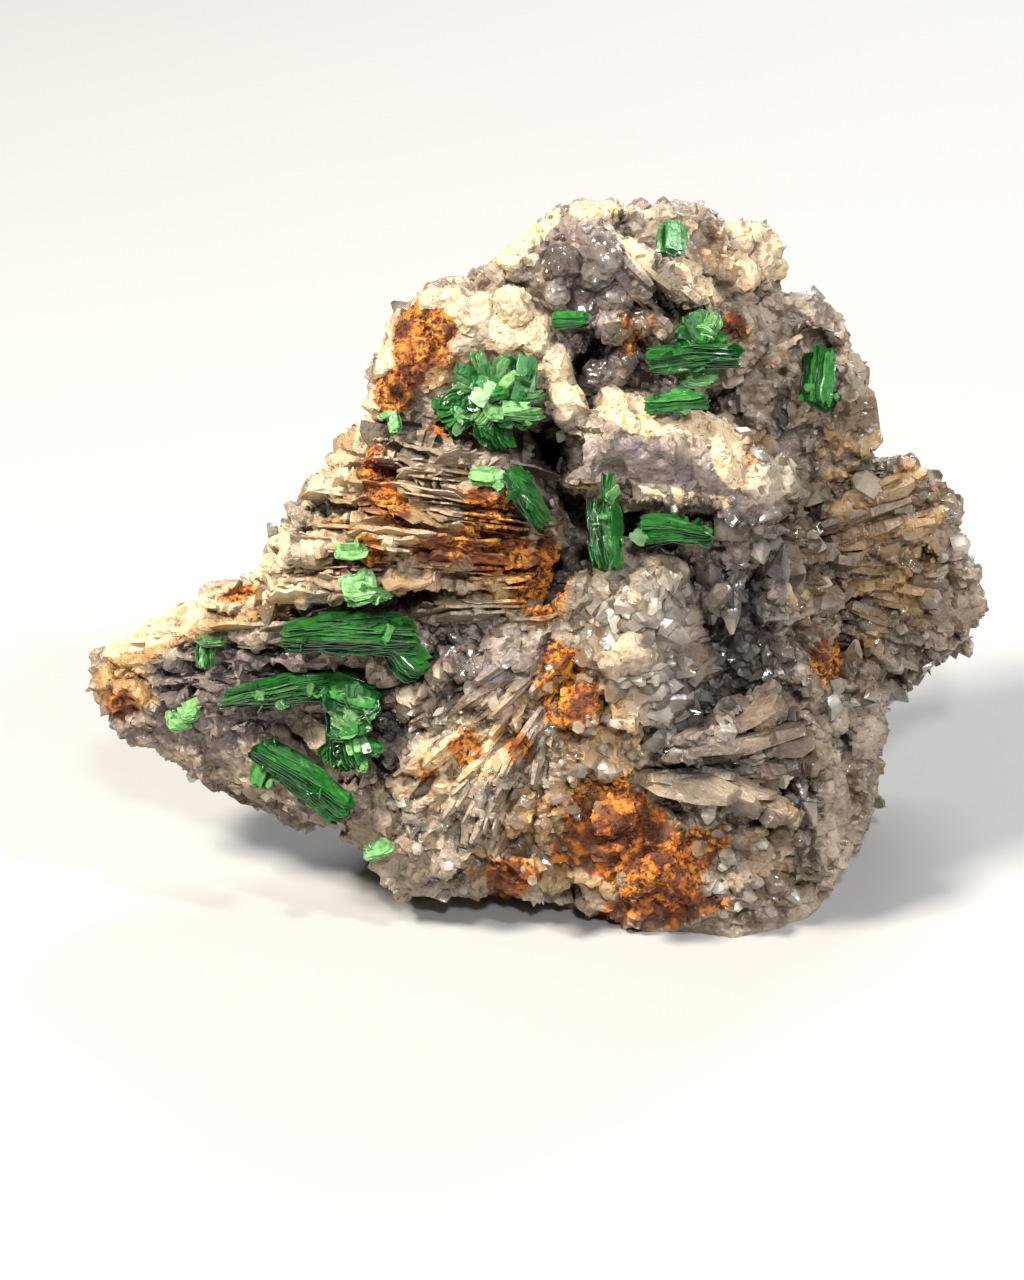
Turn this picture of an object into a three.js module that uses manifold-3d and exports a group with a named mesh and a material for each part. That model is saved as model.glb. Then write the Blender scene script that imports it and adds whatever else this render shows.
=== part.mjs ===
// A torbernite specimen: a hand piece of bladed quartz with green torbernite books grown on its face.
// Millimetres, +Z up. The face looks along -Y, and the origin is the middle of the base.
// Places on the face are given as it is seen, from in front and a little above: x to the right of the
// sight axis, h up from the lowest point that is seen, and the depth behind the foremost plane.
import * as THREE from "three";
import { ConvexGeometry } from "three/addons/geometries/ConvexGeometry.js";
import { mergeVertices } from "three/addons/utils/BufferGeometryUtils.js";
import Module from "manifold-3d";

const wasm = await Module();
wasm.setup();

// The eye
const LOOK_DOWN = THREE.MathUtils.degToRad(22);
const EYE_DISTANCE = 220;
const AXIS_HEIGHT = 15.85; // height of the sight axis over the lowest point that is seen
const TARGET = new THREE.Vector3(0, 8, 15.3);
const RIGHT = new THREE.Vector3(1, 0, 0);
const UP = new THREE.Vector3(0, Math.sin(LOOK_DOWN), Math.cos(LOOK_DOWN));
const TOWARDS = new THREE.Vector3(0, -Math.cos(LOOK_DOWN), Math.sin(LOOK_DOWN));
const EYE = TARGET.clone().addScaledVector(TOWARDS, EYE_DISTANCE);

// The face: its foremost depth, how fast it falls away to the sides, and how it leans back higher up
const FACE_FRONT = 3;
const FACE_MIDDLE = 3;
const FACE_CURVE = 0.012;
const FACE_WAIST = 20;
const FACE_LEAN = 0.35;

const GAP = 0.3; // clearance between a crystal and the rock that it grows on
const BACK_DRAW = [0.3, 0.6]; // how far a block's back is drawn in towards its middle
const BACK_EDGE = 4; // how far in front of its back a block starts to be drawn in
const FAR_BEVEL = 1.2; // depth of the bevel round a block behind the face
const GOLDEN_ANGLE = Math.PI * (3 - Math.sqrt(5)); // spreads a lump's corners evenly
const LUMP_TURN = 0.35; // how far a lump's corner strays round it, in radians
const LUMP_SWELL = [0.82, 1.08]; // how far a lump's corners stand out, as a share of its half size
const BLADE_STEP = 5; // length of a blade's free edge between two nicks
const BLADE_ROOT = 2.5; // how deep a blade is sunk in the rock
const BLADE_CORNER = 0.35; // height of a blade's ends, as a share of how proud it stands
const BLADE_EDGE = [0.6, 1.1]; // heights of the nicked edge, as shares of the same
const CRYSTAL_TURN = new THREE.Vector3(0.37, 0.91, -0.2); // sets how a crystal is turned on its axis
const CRYSTAL_SKEW = 0.12; // how uneven its six sides are, in radians
const CRYSTAL_SHOULDER = [0.5, 0.68]; // where its point starts, as a share of its length
const GROUND = 200; // side of the block that cuts the base flat

// A repeatable random source, one per form, so that a change to one form leaves the others alone.
function randomFrom(seed) {
  let state = (seed * 2654435761) >>> 0;
  return () => {
    state = (state + 0x6d2b79f5) >>> 0;
    let t = Math.imul(state ^ (state >>> 15), 1 | state);
    t = (t + Math.imul(t ^ (t >>> 7), 61 | t)) ^ t;
    return ((t ^ (t >>> 14)) >>> 0) / 4294967296;
  };
}

function between(random, low, high) {
  return low + (high - low) * random();
}

function faceDepth(x, h) {
  const aside = FACE_CURVE * (x - FACE_MIDDLE) ** 2;
  return FACE_FRONT + aside + FACE_LEAN * Math.max(0, h - FACE_WAIST);
}

// The point at a depth that is seen at x and h.
function seen(x, h, depth) {
  const onPicture = TARGET.clone()
    .addScaledVector(RIGHT, x)
    .addScaledVector(UP, h - AXIS_HEIGHT);
  const sight = onPicture.sub(EYE);
  return EYE.clone().addScaledVector(sight, (depth - EYE.y) / sight.y);
}

// A point on the face, set back from it by some millimetres.
function onFace(x, h, back = 0) {
  return seen(x, h, faceDepth(x, h) + back);
}

// A direction given as it is seen: to the right, up and towards the eye.
function seenDirection([right, up, towards]) {
  return new THREE.Vector3()
    .addScaledVector(RIGHT, right)
    .addScaledVector(UP, up)
    .addScaledVector(TOWARDS, towards)
    .normalize();
}

function solid(geometry) {
  geometry.deleteAttribute("normal");
  geometry.deleteAttribute("uv");
  const merged = mergeVertices(geometry, 1e-4);
  return new wasm.Manifold(
    new wasm.Mesh({
      numProp: 3,
      vertProperties: merged.attributes.position.array,
      triVerts: new Uint32Array(merged.index.array),
    }),
  );
}

function hull(points) {
  return solid(new ConvexGeometry(points));
}

function joined(solids) {
  return solids.reduce((whole, piece) => whole.add(piece));
}

// The main body of a cut solid, without the chips that the cut set loose.
function largest(cut) {
  return cut.decompose().reduce((a, b) => (a.volume() > b.volume() ? a : b));
}

function middleOf(outline) {
  const sum = new THREE.Vector2();
  for (const [x, h] of outline) sum.add(new THREE.Vector2(x, h));
  return sum.divideScalar(outline.length);
}

// The broken back of a block: its outline drawn in and set at uneven depths.
function brokenBack(outline, back, seed) {
  const random = randomFrom(seed);
  const centre = middleOf(outline);
  return outline.flatMap(([x, h]) => {
    const inner = new THREE.Vector2(x, h).lerp(centre, between(random, ...BACK_DRAW));
    return [
      seen(x, h, back - BACK_EDGE * between(random, 0.6, 1.4)),
      seen(inner.x, inner.y, back + between(random, -1, 1)),
    ];
  });
}

// A block of rock: its outline as seen, set back at the rim, crowned on the face, with a broken back.
function block({ outline, crown, rim, proud = 0, back }, index) {
  const front = outline.map(([x, h]) => onFace(x, h, rim - proud));
  const crest = crown.map(([x, h, lift = 0]) => onFace(x, h, -proud - lift));
  return hull([...front, ...crest, ...brokenBack(outline, back, 20 + index)]);
}

// A rounded, faceted lump.
function lump({ at, size, seed, corners = 9 }) {
  const random = randomFrom(seed);
  const points = [];
  for (let i = 0; i < corners; i++) {
    const z = 1 - (2 * (i + 0.5)) / corners;
    const turn = i * GOLDEN_ANGLE + between(random, -LUMP_TURN, LUMP_TURN);
    const ring = Math.sqrt(1 - z * z);
    const swell = between(random, ...LUMP_SWELL);
    points.push(
      new THREE.Vector3(
        at.x + size[0] * swell * ring * Math.cos(turn),
        at.y + size[1] * swell * ring * Math.sin(turn),
        at.z + size[2] * swell * z,
      ),
    );
  }
  return hull(points);
}

// A thin blade of quartz standing on edge out of the rock, its free edge jagged.
function blade({ from, to, out, thick, proud, deep = BLADE_ROOT, seed }) {
  const random = randomFrom(seed);
  const along = to.clone().sub(from);
  const length = along.length();
  along.normalize();
  const across = new THREE.Vector3().crossVectors(along, out).normalize();
  const outward = new THREE.Vector3().crossVectors(across, along);
  const steps = Math.max(2, Math.round(length / BLADE_STEP));
  const outline = new THREE.Shape();
  outline.moveTo(0, -deep);
  outline.lineTo(length, -deep);
  outline.lineTo(length * between(random, 0.96, 1), proud * BLADE_CORNER);
  for (let i = steps - 1; i >= 1; i--) {
    const place = (i + between(random, -0.3, 0.3)) / steps;
    outline.lineTo(length * place, proud * between(random, ...BLADE_EDGE));
  }
  outline.lineTo(length * between(random, 0, 0.04), proud * BLADE_CORNER);
  const slab = new THREE.ExtrudeGeometry(outline, {
    depth: thick,
    steps: 1,
    bevelEnabled: false,
  });
  slab.translate(0, 0, -thick / 2);
  slab.applyMatrix4(
    new THREE.Matrix4().makeBasis(along, outward, across).setPosition(from),
  );
  return solid(slab);
}

// A quartz crystal: a six-sided prism with a point.
function quartzPoint({ at, axis, radius, length, seed }) {
  const random = randomFrom(seed);
  const side = CRYSTAL_TURN.clone().cross(axis).normalize();
  const front = new THREE.Vector3().crossVectors(axis, side);
  const ring = (share, height) =>
    Array.from({ length: 6 }, (_, i) => {
      const turn = (i * Math.PI) / 3 + between(random, -CRYSTAL_SKEW, CRYSTAL_SKEW);
      return at
        .clone()
        .addScaledVector(side, radius * share * Math.cos(turn))
        .addScaledVector(front, radius * share * Math.sin(turn))
        .addScaledVector(axis, height);
    });
  const shoulder = length * between(random, ...CRYSTAL_SHOULDER);
  const tip = at.clone().addScaledVector(axis, length);
  return hull([...ring(0.9, -radius), ...ring(1, shoulder), tip]);
}

// The rock's main blocks
const WING = {
  outline: [
    [-21.8, 15.0],
    [-21.9, 13.4],
    [-20.0, 11.0],
    [-18.1, 9.7],
    [-14.2, 7.7],
    [-10.5, 6.3],
    [-6.0, 6.4],
    [-4.0, 12.0],
    [-5.0, 17.4],
    [-13.7, 18.6],
    [-17.9, 17.2],
    [-20.5, 15.8],
  ],
  crown: [
    [-19.4, 13.6],
    [-14.0, 13.4, 0.4],
    [-9.5, 13.2, 0.3],
    [-8.0, 9.0, 0.2],
  ],
  rim: 1.6,
  back: 15,
};
const LEFT_STACK = {
  outline: [
    [-13.5, 18.2],
    [-13.0, 20.0],
    [-11.2, 22.2],
    [-9.0, 24.0],
    [-7.6, 27.2],
    [0.4, 28.0],
    [2.6, 22.0],
    [1.0, 16.0],
    [-8.0, 15.6],
  ],
  crown: [
    [-8.0, 20.0],
    [-3.0, 23.0],
    [-1.0, 18.0],
  ],
  rim: 1.3,
  proud: -0.9,
  back: 19,
};
const LOWER_FACE = {
  outline: [
    [-8.4, 5.6],
    [-6.6, 4.2],
    [-5.4, 2.7],
    [2.4, 2.7],
    [5.0, 4.0],
    [4.6, 16.8],
    [-1.0, 17.6],
    [-6.8, 11.0],
  ],
  crown: [
    [-3.6, 6.0, 0.3],
    [0.6, 7.4, 0.4],
    [-1.6, 11.4],
  ],
  rim: 1.1,
  back: 18,
};
const MIDDLE_FACE = {
  outline: [
    [0.6, 6.0],
    [4.0, 2.4],
    [7.6, 4.0],
    [8.6, 10.0],
    [9.8, 15.0],
    [9.2, 19.6],
    [6.0, 20.6],
    [3.2, 19.0],
    [1.0, 13.0],
  ],
  crown: [
    [4.2, 12.4, 0.2],
    [6.6, 16.4, 1.1],
    [7.4, 18.4, 0.9],
  ],
  rim: 1.0,
  back: 18,
};
const LOWER_RIGHT = {
  outline: [
    [3.6, 2.3],
    [6.4, 0.8],
    [11.7, -0.6],
    [14.5, 0.4],
    [16.2, 2.0],
    [17.3, 4.8],
    [16.6, 8.6],
    [8.0, 9.6],
  ],
  crown: [
    [7.4, 4.0, 0.4],
    [11.6, 3.0],
    [13.6, 6.0],
  ],
  rim: 1.3,
  back: 22,
};
const RIGHT_HOLLOW = {
  outline: [
    [6.6, 9.0],
    [15.6, 8.6],
    [17.0, 12.0],
    [15.6, 20.0],
    [14.8, 24.4],
    [8.0, 23.0],
    [7.0, 16.0],
  ],
  crown: [[12.6, 15.0]],
  rim: 2.6,
  proud: -2.2,
  back: 26,
};
const BROW = {
  outline: [
    [2.6, 24.0],
    [3.0, 27.0],
    [5.2, 28.9],
    [9.6, 28.0],
    [12.4, 26.4],
    [14.3, 24.4],
    [13.8, 22.2],
    [9.0, 22.6],
    [5.0, 23.2],
  ],
  crown: [
    [5.4, 26.8, 0.4],
    [8.4, 26.2, 0.6],
    [11.4, 24.8, 0.4],
  ],
  rim: 0.9,
  proud: 1.6,
  back: 18,
};
const LEFT_SHOULDER = {
  outline: [
    [-7.5, 27.4],
    [-6.8, 28.6],
    [-6.7, 31.0],
    [-6.0, 32.6],
    [-3.5, 34.4],
    [-0.6, 34.2],
    [2.4, 32.6],
    [3.4, 28.0],
    [0.6, 26.6],
  ],
  crown: [
    [-4.6, 30.6],
    [-0.2, 32.2, 0.9],
    [1.4, 30.6, 0.8],
  ],
  rim: 1.4,
  back: 18,
};
const PEAK = {
  outline: [
    [-1.8, 34.4],
    [0.4, 36.6],
    [2.2, 38.2],
    [3.8, 38.8],
    [5.0, 38.2],
    [6.8, 34.6],
    [6.0, 31.0],
    [-0.4, 32.0],
  ],
  crown: [
    [2.2, 35.2, 0.2],
    [4.2, 36.6, 0.6],
  ],
  rim: 1.5,
  back: 20,
};
const BLOCKS = [
  WING,
  LEFT_STACK,
  LOWER_FACE,
  MIDDLE_FACE,
  LOWER_RIGHT,
  RIGHT_HOLLOW,
  BROW,
  LEFT_SHOULDER,
  PEAK,
];

// The parts of the rock that stand behind the face: outlines as seen, between two depths
const FAR_BLOCKS = [
  {
    name: "top ridge",
    front: 13.5,
    back: 22,
    outline: [
      [3.6, 38.2],
      [7.2, 38.0],
      [9.8, 38.3],
      [11.0, 37.2],
      [13.0, 31.0],
      [9.0, 27.0],
      [1.4, 28.0],
      [0.6, 33.0],
    ],
  },
  {
    name: "top right ledge",
    front: 17.5,
    back: 24,
    outline: [
      [9.6, 36.8],
      [12.9, 37.3],
      [14.0, 36.2],
      [14.2, 34.4],
      [12.6, 32.6],
      [10.0, 31.0],
    ],
  },
  {
    name: "right shoulder",
    front: 16,
    back: 27,
    outline: [
      [11.0, 33.6],
      [15.8, 34.0],
      [17.0, 32.2],
      [18.0, 29.8],
      [18.6, 25.0],
      [14.0, 22.0],
      [9.0, 26.0],
    ],
  },
  {
    name: "far wing",
    front: 17,
    back: 28,
    outline: [
      [16.0, 24.6],
      [20.2, 25.4],
      [22.0, 23.6],
      [23.8, 20.8],
      [24.5, 17.9],
      [23.9, 15.6],
      [21.6, 14.2],
      [15.0, 12.4],
      [13.6, 20.0],
    ],
  },
  {
    name: "far foot",
    front: 11.5,
    back: 25,
    outline: [
      [13.0, 15.0],
      [18.8, 14.4],
      [19.2, 10.6],
      [17.9, 8.4],
      [17.8, 5.0],
      [13.6, 3.4],
    ],
  },
];

// The bulk of the rock behind the face, and the foot that it stands on, in the row's own axes
const BULK = { at: new THREE.Vector3(3.2, 17.5, 15.2), size: [13.4, 9.6, 14.0] };
const BULK_CORNERS = 26;
const FOOT_TOP = 7;
const FOOT_OUTLINE = [
  [6.4, 5.4],
  [11.7, 3.8],
  [14.4, 5.0],
  [16.4, 9.0],
  [16.4, 20.0],
  [8.0, 25.0],
  [-3.6, 22.0],
  [-5.6, 12.4],
  [2.5, 10.6],
];

// Fans of thin blades on the face. Each row has the hub that its blades radiate from, and for every blade
// its bearing in degrees, counted from the right over the top, and the distances of its two ends from the hub.
const FANS = [
  {
    name: "left ledges",
    hub: [4.0, 21.0],
    thick: [0.5, 0.8],
    proud: [1.2, 2.2],
    blades: [
      [145, 4.6, 10.6],
      [152, 4.2, 11.4],
      [158.5, 5.0, 12.2],
      [164.5, 4.6, 13.4],
      [170, 5.2, 14.4],
      [175.5, 5.6, 15.2],
      [181, 6.2, 15.8],
      [186, 6.0, 16.6],
      [191, 6.6, 17.4],
    ],
  },
  {
    name: "wing ledges",
    hub: [6.0, 15.0],
    thick: [0.5, 0.8],
    proud: [0.7, 1.3],
    blades: [
      [176.5, 12.0, 23.4],
      [180.5, 12.5, 25.4],
      [185, 11.5, 25.2],
      [190, 12.0, 23.0],
      [196, 12.5, 20.4],
    ],
  },
  {
    name: "lower striations",
    hub: [4.2, 17.0],
    thick: [0.7, 1.3],
    proud: [0.4, 0.9],
    blades: [
      [204, 4.0, 11.8],
      [213, 3.0, 13.4],
      [221, 4.0, 13.6],
      [229, 3.0, 14.2],
      [238, 4.4, 14.4],
      [247, 5.0, 14.2],
      [257, 6.0, 13.6],
    ],
  },
  {
    name: "right spray",
    hub: [6.0, 9.0],
    thick: [0.7, 1.1],
    proud: [1.6, 2.6],
    blades: [
      [-12, 2.0, 11.0],
      [-3, 1.4, 10.6],
      [6, 1.2, 10.8],
      [15, 1.4, 9.8],
      [25, 2.0, 8.6],
    ],
  },
  {
    name: "crown crest",
    hub: [1.6, 40.0],
    thick: [0.7, 1.0],
    proud: [0.9, 1.6],
    blades: [
      [-40, 4.6, 11.4],
      [-50, 4.4, 10.6],
    ],
  },
];

// Blades behind the face on the right, given as seen with their depth
const FAR_BLADES = [
  { from: [5.2, 38.0, 12.6], to: [12.4, 31.6, 14.4], thick: 0.9, proud: 1.4 },
  { from: [8.6, 37.6, 14.6], to: [12.2, 30.4, 15.8], thick: 0.8, proud: 1.6 },
  { from: [10.4, 37.0, 16.6], to: [13.6, 30.0, 16.8], thick: 0.8, proud: 1.5 },
  { from: [13.2, 30.6, 15.4], to: [16.4, 32.4, 17.6], thick: 0.9, proud: 1.2 },
  { from: [13.6, 26.6, 15.2], to: [17.4, 28.6, 18.0], thick: 0.8, proud: 1.4 },
  { from: [15.4, 22.8, 16.0], to: [22.6, 22.6, 20.0], thick: 0.9, proud: 1.3 },
  { from: [15.6, 20.4, 16.0], to: [24.0, 19.0, 20.5], thick: 0.9, proud: 1.5 },
  { from: [16.0, 17.2, 16.0], to: [23.8, 16.2, 20.5], thick: 0.9, proud: 1.3 },
  { from: [14.8, 12.0, 11.5], to: [19.4, 10.4, 15.0], thick: 1.0, proud: 1.2 },
];

// Lumps on the face, each at x, h and how far behind the face its middle lies, with its half sizes
const FACE_LUMPS = [
  { at: [-3.4, 33.4, 1.2], size: [1.8, 1.6, 1.5] },
  { at: [-1.2, 32.6, 0.8], size: [1.7, 1.3, 1.0] },
  { at: [0.6, 32.0, 0.2], size: [1.9, 1.4, 1.6] },
  { at: [2.3, 30.2, 0.1], size: [1.4, 1.3, 1.5] },
  { at: [2.8, 28.2, -0.3], size: [1.5, 1.3, 1.3] },
  { at: [5.0, 32.8, 0.6], size: [1.7, 1.5, 2.0] },
  { at: [6.3, 32.0, 0.4], size: [1.1, 1.0, 1.0] },
  { at: [5.4, 30.4, 1.2], size: [1.5, 1.4, 1.3] },
  { at: [4.0, 37.0, 0.3], size: [1.6, 1.4, 1.3] },
  { at: [0.8, 35.6, 0.6], size: [1.8, 1.3, 1.0] },
  { at: [-5.6, 30.4, 0.8], size: [1.6, 1.5, 1.9] },
  { at: [12.8, 28.2, 0.8], size: [1.5, 1.4, 1.6] },
  { at: [14.0, 24.2, 0.4], size: [1.2, 1.3, 1.4] },
  { at: [12.6, 21.8, 0.6], size: [1.6, 1.4, 1.6] },
  { at: [10.6, 21.0, 1.8], size: [2.0, 1.4, 1.1] },
  { at: [7.0, 18.4, -0.6], size: [1.9, 1.4, 1.4] },
  { at: [5.4, 15.6, -0.4], size: [2.1, 1.3, 2.0] },
  { at: [8.0, 13.8, 0.1], size: [1.4, 1.2, 1.2] },
  { at: [3.2, 12.4, 0.0], size: [1.9, 1.2, 1.6] },
  { at: [5.6, 7.0, -0.1], size: [1.7, 1.2, 1.6] },
  { at: [7.0, 3.8, -0.2], size: [2.0, 1.4, 1.7] },
  { at: [1.0, 4.4, 0.3], size: [1.6, 1.3, 1.2] },
  { at: [-3.4, 4.6, 0.4], size: [1.8, 1.4, 1.4] },
  { at: [12.6, 2.4, 0.6], size: [2.0, 1.6, 1.4] },
  { at: [15.2, 4.4, 1.0], size: [1.8, 1.7, 1.7] },
  { at: [-20.6, 14.2, 1.2], size: [1.1, 1.3, 1.3] },
  { at: [-15.0, 18.0, 1.2], size: [2.0, 1.3, 0.8] },
];

// Pits in the face, cut before the blades and crystals are added
const PITS = [
  { at: [7.6, 34.4, 0.8], size: [1.5, 2.0, 1.7] },
  { at: [8.6, 32.0, 1.6], size: [1.2, 2.0, 1.4] },
  { at: [3.9, 30.0, -0.2], size: [0.9, 1.8, 1.5] },
  { at: [-4.4, 31.8, 0.0], size: [1.4, 1.3, 1.6] },
  { at: [2.6, 25.2, 0.0], size: [1.6, 2.0, 1.4] },
  { at: [10.0, 22.4, -0.6], size: [1.8, 2.0, 0.9] },
  { at: [4.4, 20.4, 0.4], size: [0.7, 1.6, 1.3] },
  { at: [11.0, 16.6, 1.9], size: [1.0, 2.0, 1.6] },
  { at: [12.2, 19.2, 2.4], size: [1.7, 2.0, 1.0] },
  { at: [-7.6, 12.0, 0.0], size: [1.5, 1.4, 1.7] },
  { at: [-6.4, 9.2, 0.2], size: [1.3, 1.4, 1.3] },
];

// Quartz crystals in the hollow on the right and along the top
const DRUSES = [
  { seed: 41, count: 10, x: [9.4, 15.6], h: [10.0, 20.6], back: 2.2, lean: 0.9 },
  { seed: 43, count: 3, x: [10.6, 14.6], h: [20.6, 27.4], back: 0.8, lean: 0.8 },
  { seed: 47, count: 3, x: [9.0, 16.4], h: [1.8, 8.4], back: 0.9, lean: 0.8 },
  { seed: 53, count: 2, x: [-1.0, 5.4], h: [33.4, 37.6], back: 0.7, lean: 0.7 },
];

// Lumps and blades over the sides, top and back of the bulk
const ROUGH_LUMPS = 14;
const ROUGH_BLADES = 7;

function fanBlades({ name, hub, thick, proud, blades }, index) {
  return blades.map(([bearing, near, far], i) => {
    const random = randomFrom(100 * (index + 1) + i);
    const turn = THREE.MathUtils.degToRad(bearing);
    const end = (reach) =>
      onFace(hub[0] + reach * Math.cos(turn), hub[1] + reach * Math.sin(turn));
    return blade({
      from: end(near),
      to: end(far),
      out: TOWARDS,
      thick: between(random, ...thick),
      proud: between(random, ...proud),
      seed: name.length * 31 + i,
    });
  });
}

function farBlade({ from, to, thick, proud }, index) {
  return blade({
    from: seen(...from),
    to: seen(...to),
    out: TOWARDS,
    thick,
    proud,
    seed: 700 + index,
  });
}

function druse({ seed, count, x, h, back, lean }) {
  const random = randomFrom(seed);
  return Array.from({ length: count }, (_, i) => {
    const at = onFace(between(random, ...x), between(random, ...h), back);
    const axis = seenDirection([
      between(random, -lean, lean),
      between(random, -lean, lean),
      1,
    ]);
    const radius = between(random, 0.5, 1.0);
    const length = radius * between(random, 2.2, 3.2);
    return quartzPoint({ at, axis, radius, length, seed: seed * 10 + i });
  });
}

// A place on the bulk's surface. Turns run from the back round to both sides and never onto the face.
function aroundBulk(random) {
  const turn = between(random, -0.2, 1.0) * Math.PI;
  const rise = between(random, -0.55, 0.95);
  const ring = Math.sqrt(1 - rise * rise);
  const out = new THREE.Vector3(
    ring * Math.cos(turn),
    ring * Math.sin(turn),
    rise,
  );
  const at = out
    .clone()
    .multiply(new THREE.Vector3(...BULK.size))
    .add(BULK.at);
  return { at, out };
}

function roughLumps() {
  const random = randomFrom(61);
  return Array.from({ length: ROUGH_LUMPS }, (_, i) => {
    const { at, out } = aroundBulk(random);
    const size = [0, 0, 0].map(() => between(random, 2.2, 3.8));
    return lump({ at: at.addScaledVector(out, -2), size, seed: 800 + i });
  });
}

function roughBlades() {
  const random = randomFrom(67);
  return Array.from({ length: ROUGH_BLADES }, (_, i) => {
    const { at, out } = aroundBulk(random);
    const lie = new THREE.Vector3(0.2, 0.5, 1).cross(out).normalize();
    const half = between(random, 3, 5);
    return blade({
      from: at.clone().addScaledVector(lie, -half),
      to: at.clone().addScaledVector(lie, half),
      out,
      thick: between(random, 0.8, 1.3),
      proud: between(random, 0.5, 1.3),
      deep: 3.5,
      seed: 900 + i,
    });
  });
}

// A block behind the face: its outline as seen, bevelled in front, with a broken back.
function farBlock({ outline, front, back }, index) {
  const rim = outline.map(([x, h]) => seen(x, h, front + FAR_BEVEL));
  const centre = middleOf(outline);
  const crest = outline.map(([x, h]) => {
    const inset = new THREE.Vector2(x, h).lerp(centre, 0.4);
    return seen(inset.x, inset.y, front);
  });
  return hull([...rim, ...crest, ...brokenBack(outline, back, 40 + index)]);
}

function foot() {
  const points = FOOT_OUTLINE.flatMap(([x, y]) => [
    new THREE.Vector3(x, y, -0.5),
    new THREE.Vector3(x, y + 0.6, FOOT_TOP),
  ]);
  return hull(points);
}

function ground() {
  const box = new THREE.BoxGeometry(GROUND, GROUND, GROUND);
  return solid(box.translate(0, 0, -GROUND / 2));
}

const faceLump = ({ at: [x, h, back], size: [wide, high, deep] }, i) =>
  lump({ at: onFace(x, h, back), size: [wide, deep, high], seed: 500 + i });

function quartzMatrix() {
  const bulk = lump({ ...BULK, seed: 7, corners: BULK_CORNERS });
  const rock = joined([
    bulk,
    foot(),
    ...BLOCKS.map(block),
    ...FAR_BLOCKS.map(farBlock),
    ...roughLumps(),
  ]);
  const pitted = rock.subtract(joined(PITS.map(faceLump)));
  return joined([
    pitted,
    ...FACE_LUMPS.map(faceLump),
    ...FANS.flatMap(fanBlades),
    ...FAR_BLADES.map(farBlade),
    ...roughBlades(),
    ...DRUSES.flatMap(druse),
  ]).subtract(ground());
}

// Torbernite grows as books of thin square plates. A book has its place on the face (x, h and how far
// its middle stands in front of the face), the plates' normal and the direction from their root to their
// free end as seen, its length, width and thickness at the root, how many plates are told apart in it,
// and how far they fan open, in degrees.
function book(at, normal, along, size, plates = 1, fan = 0) {
  return { at, normal, along, size, plates, fan };
}

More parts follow.
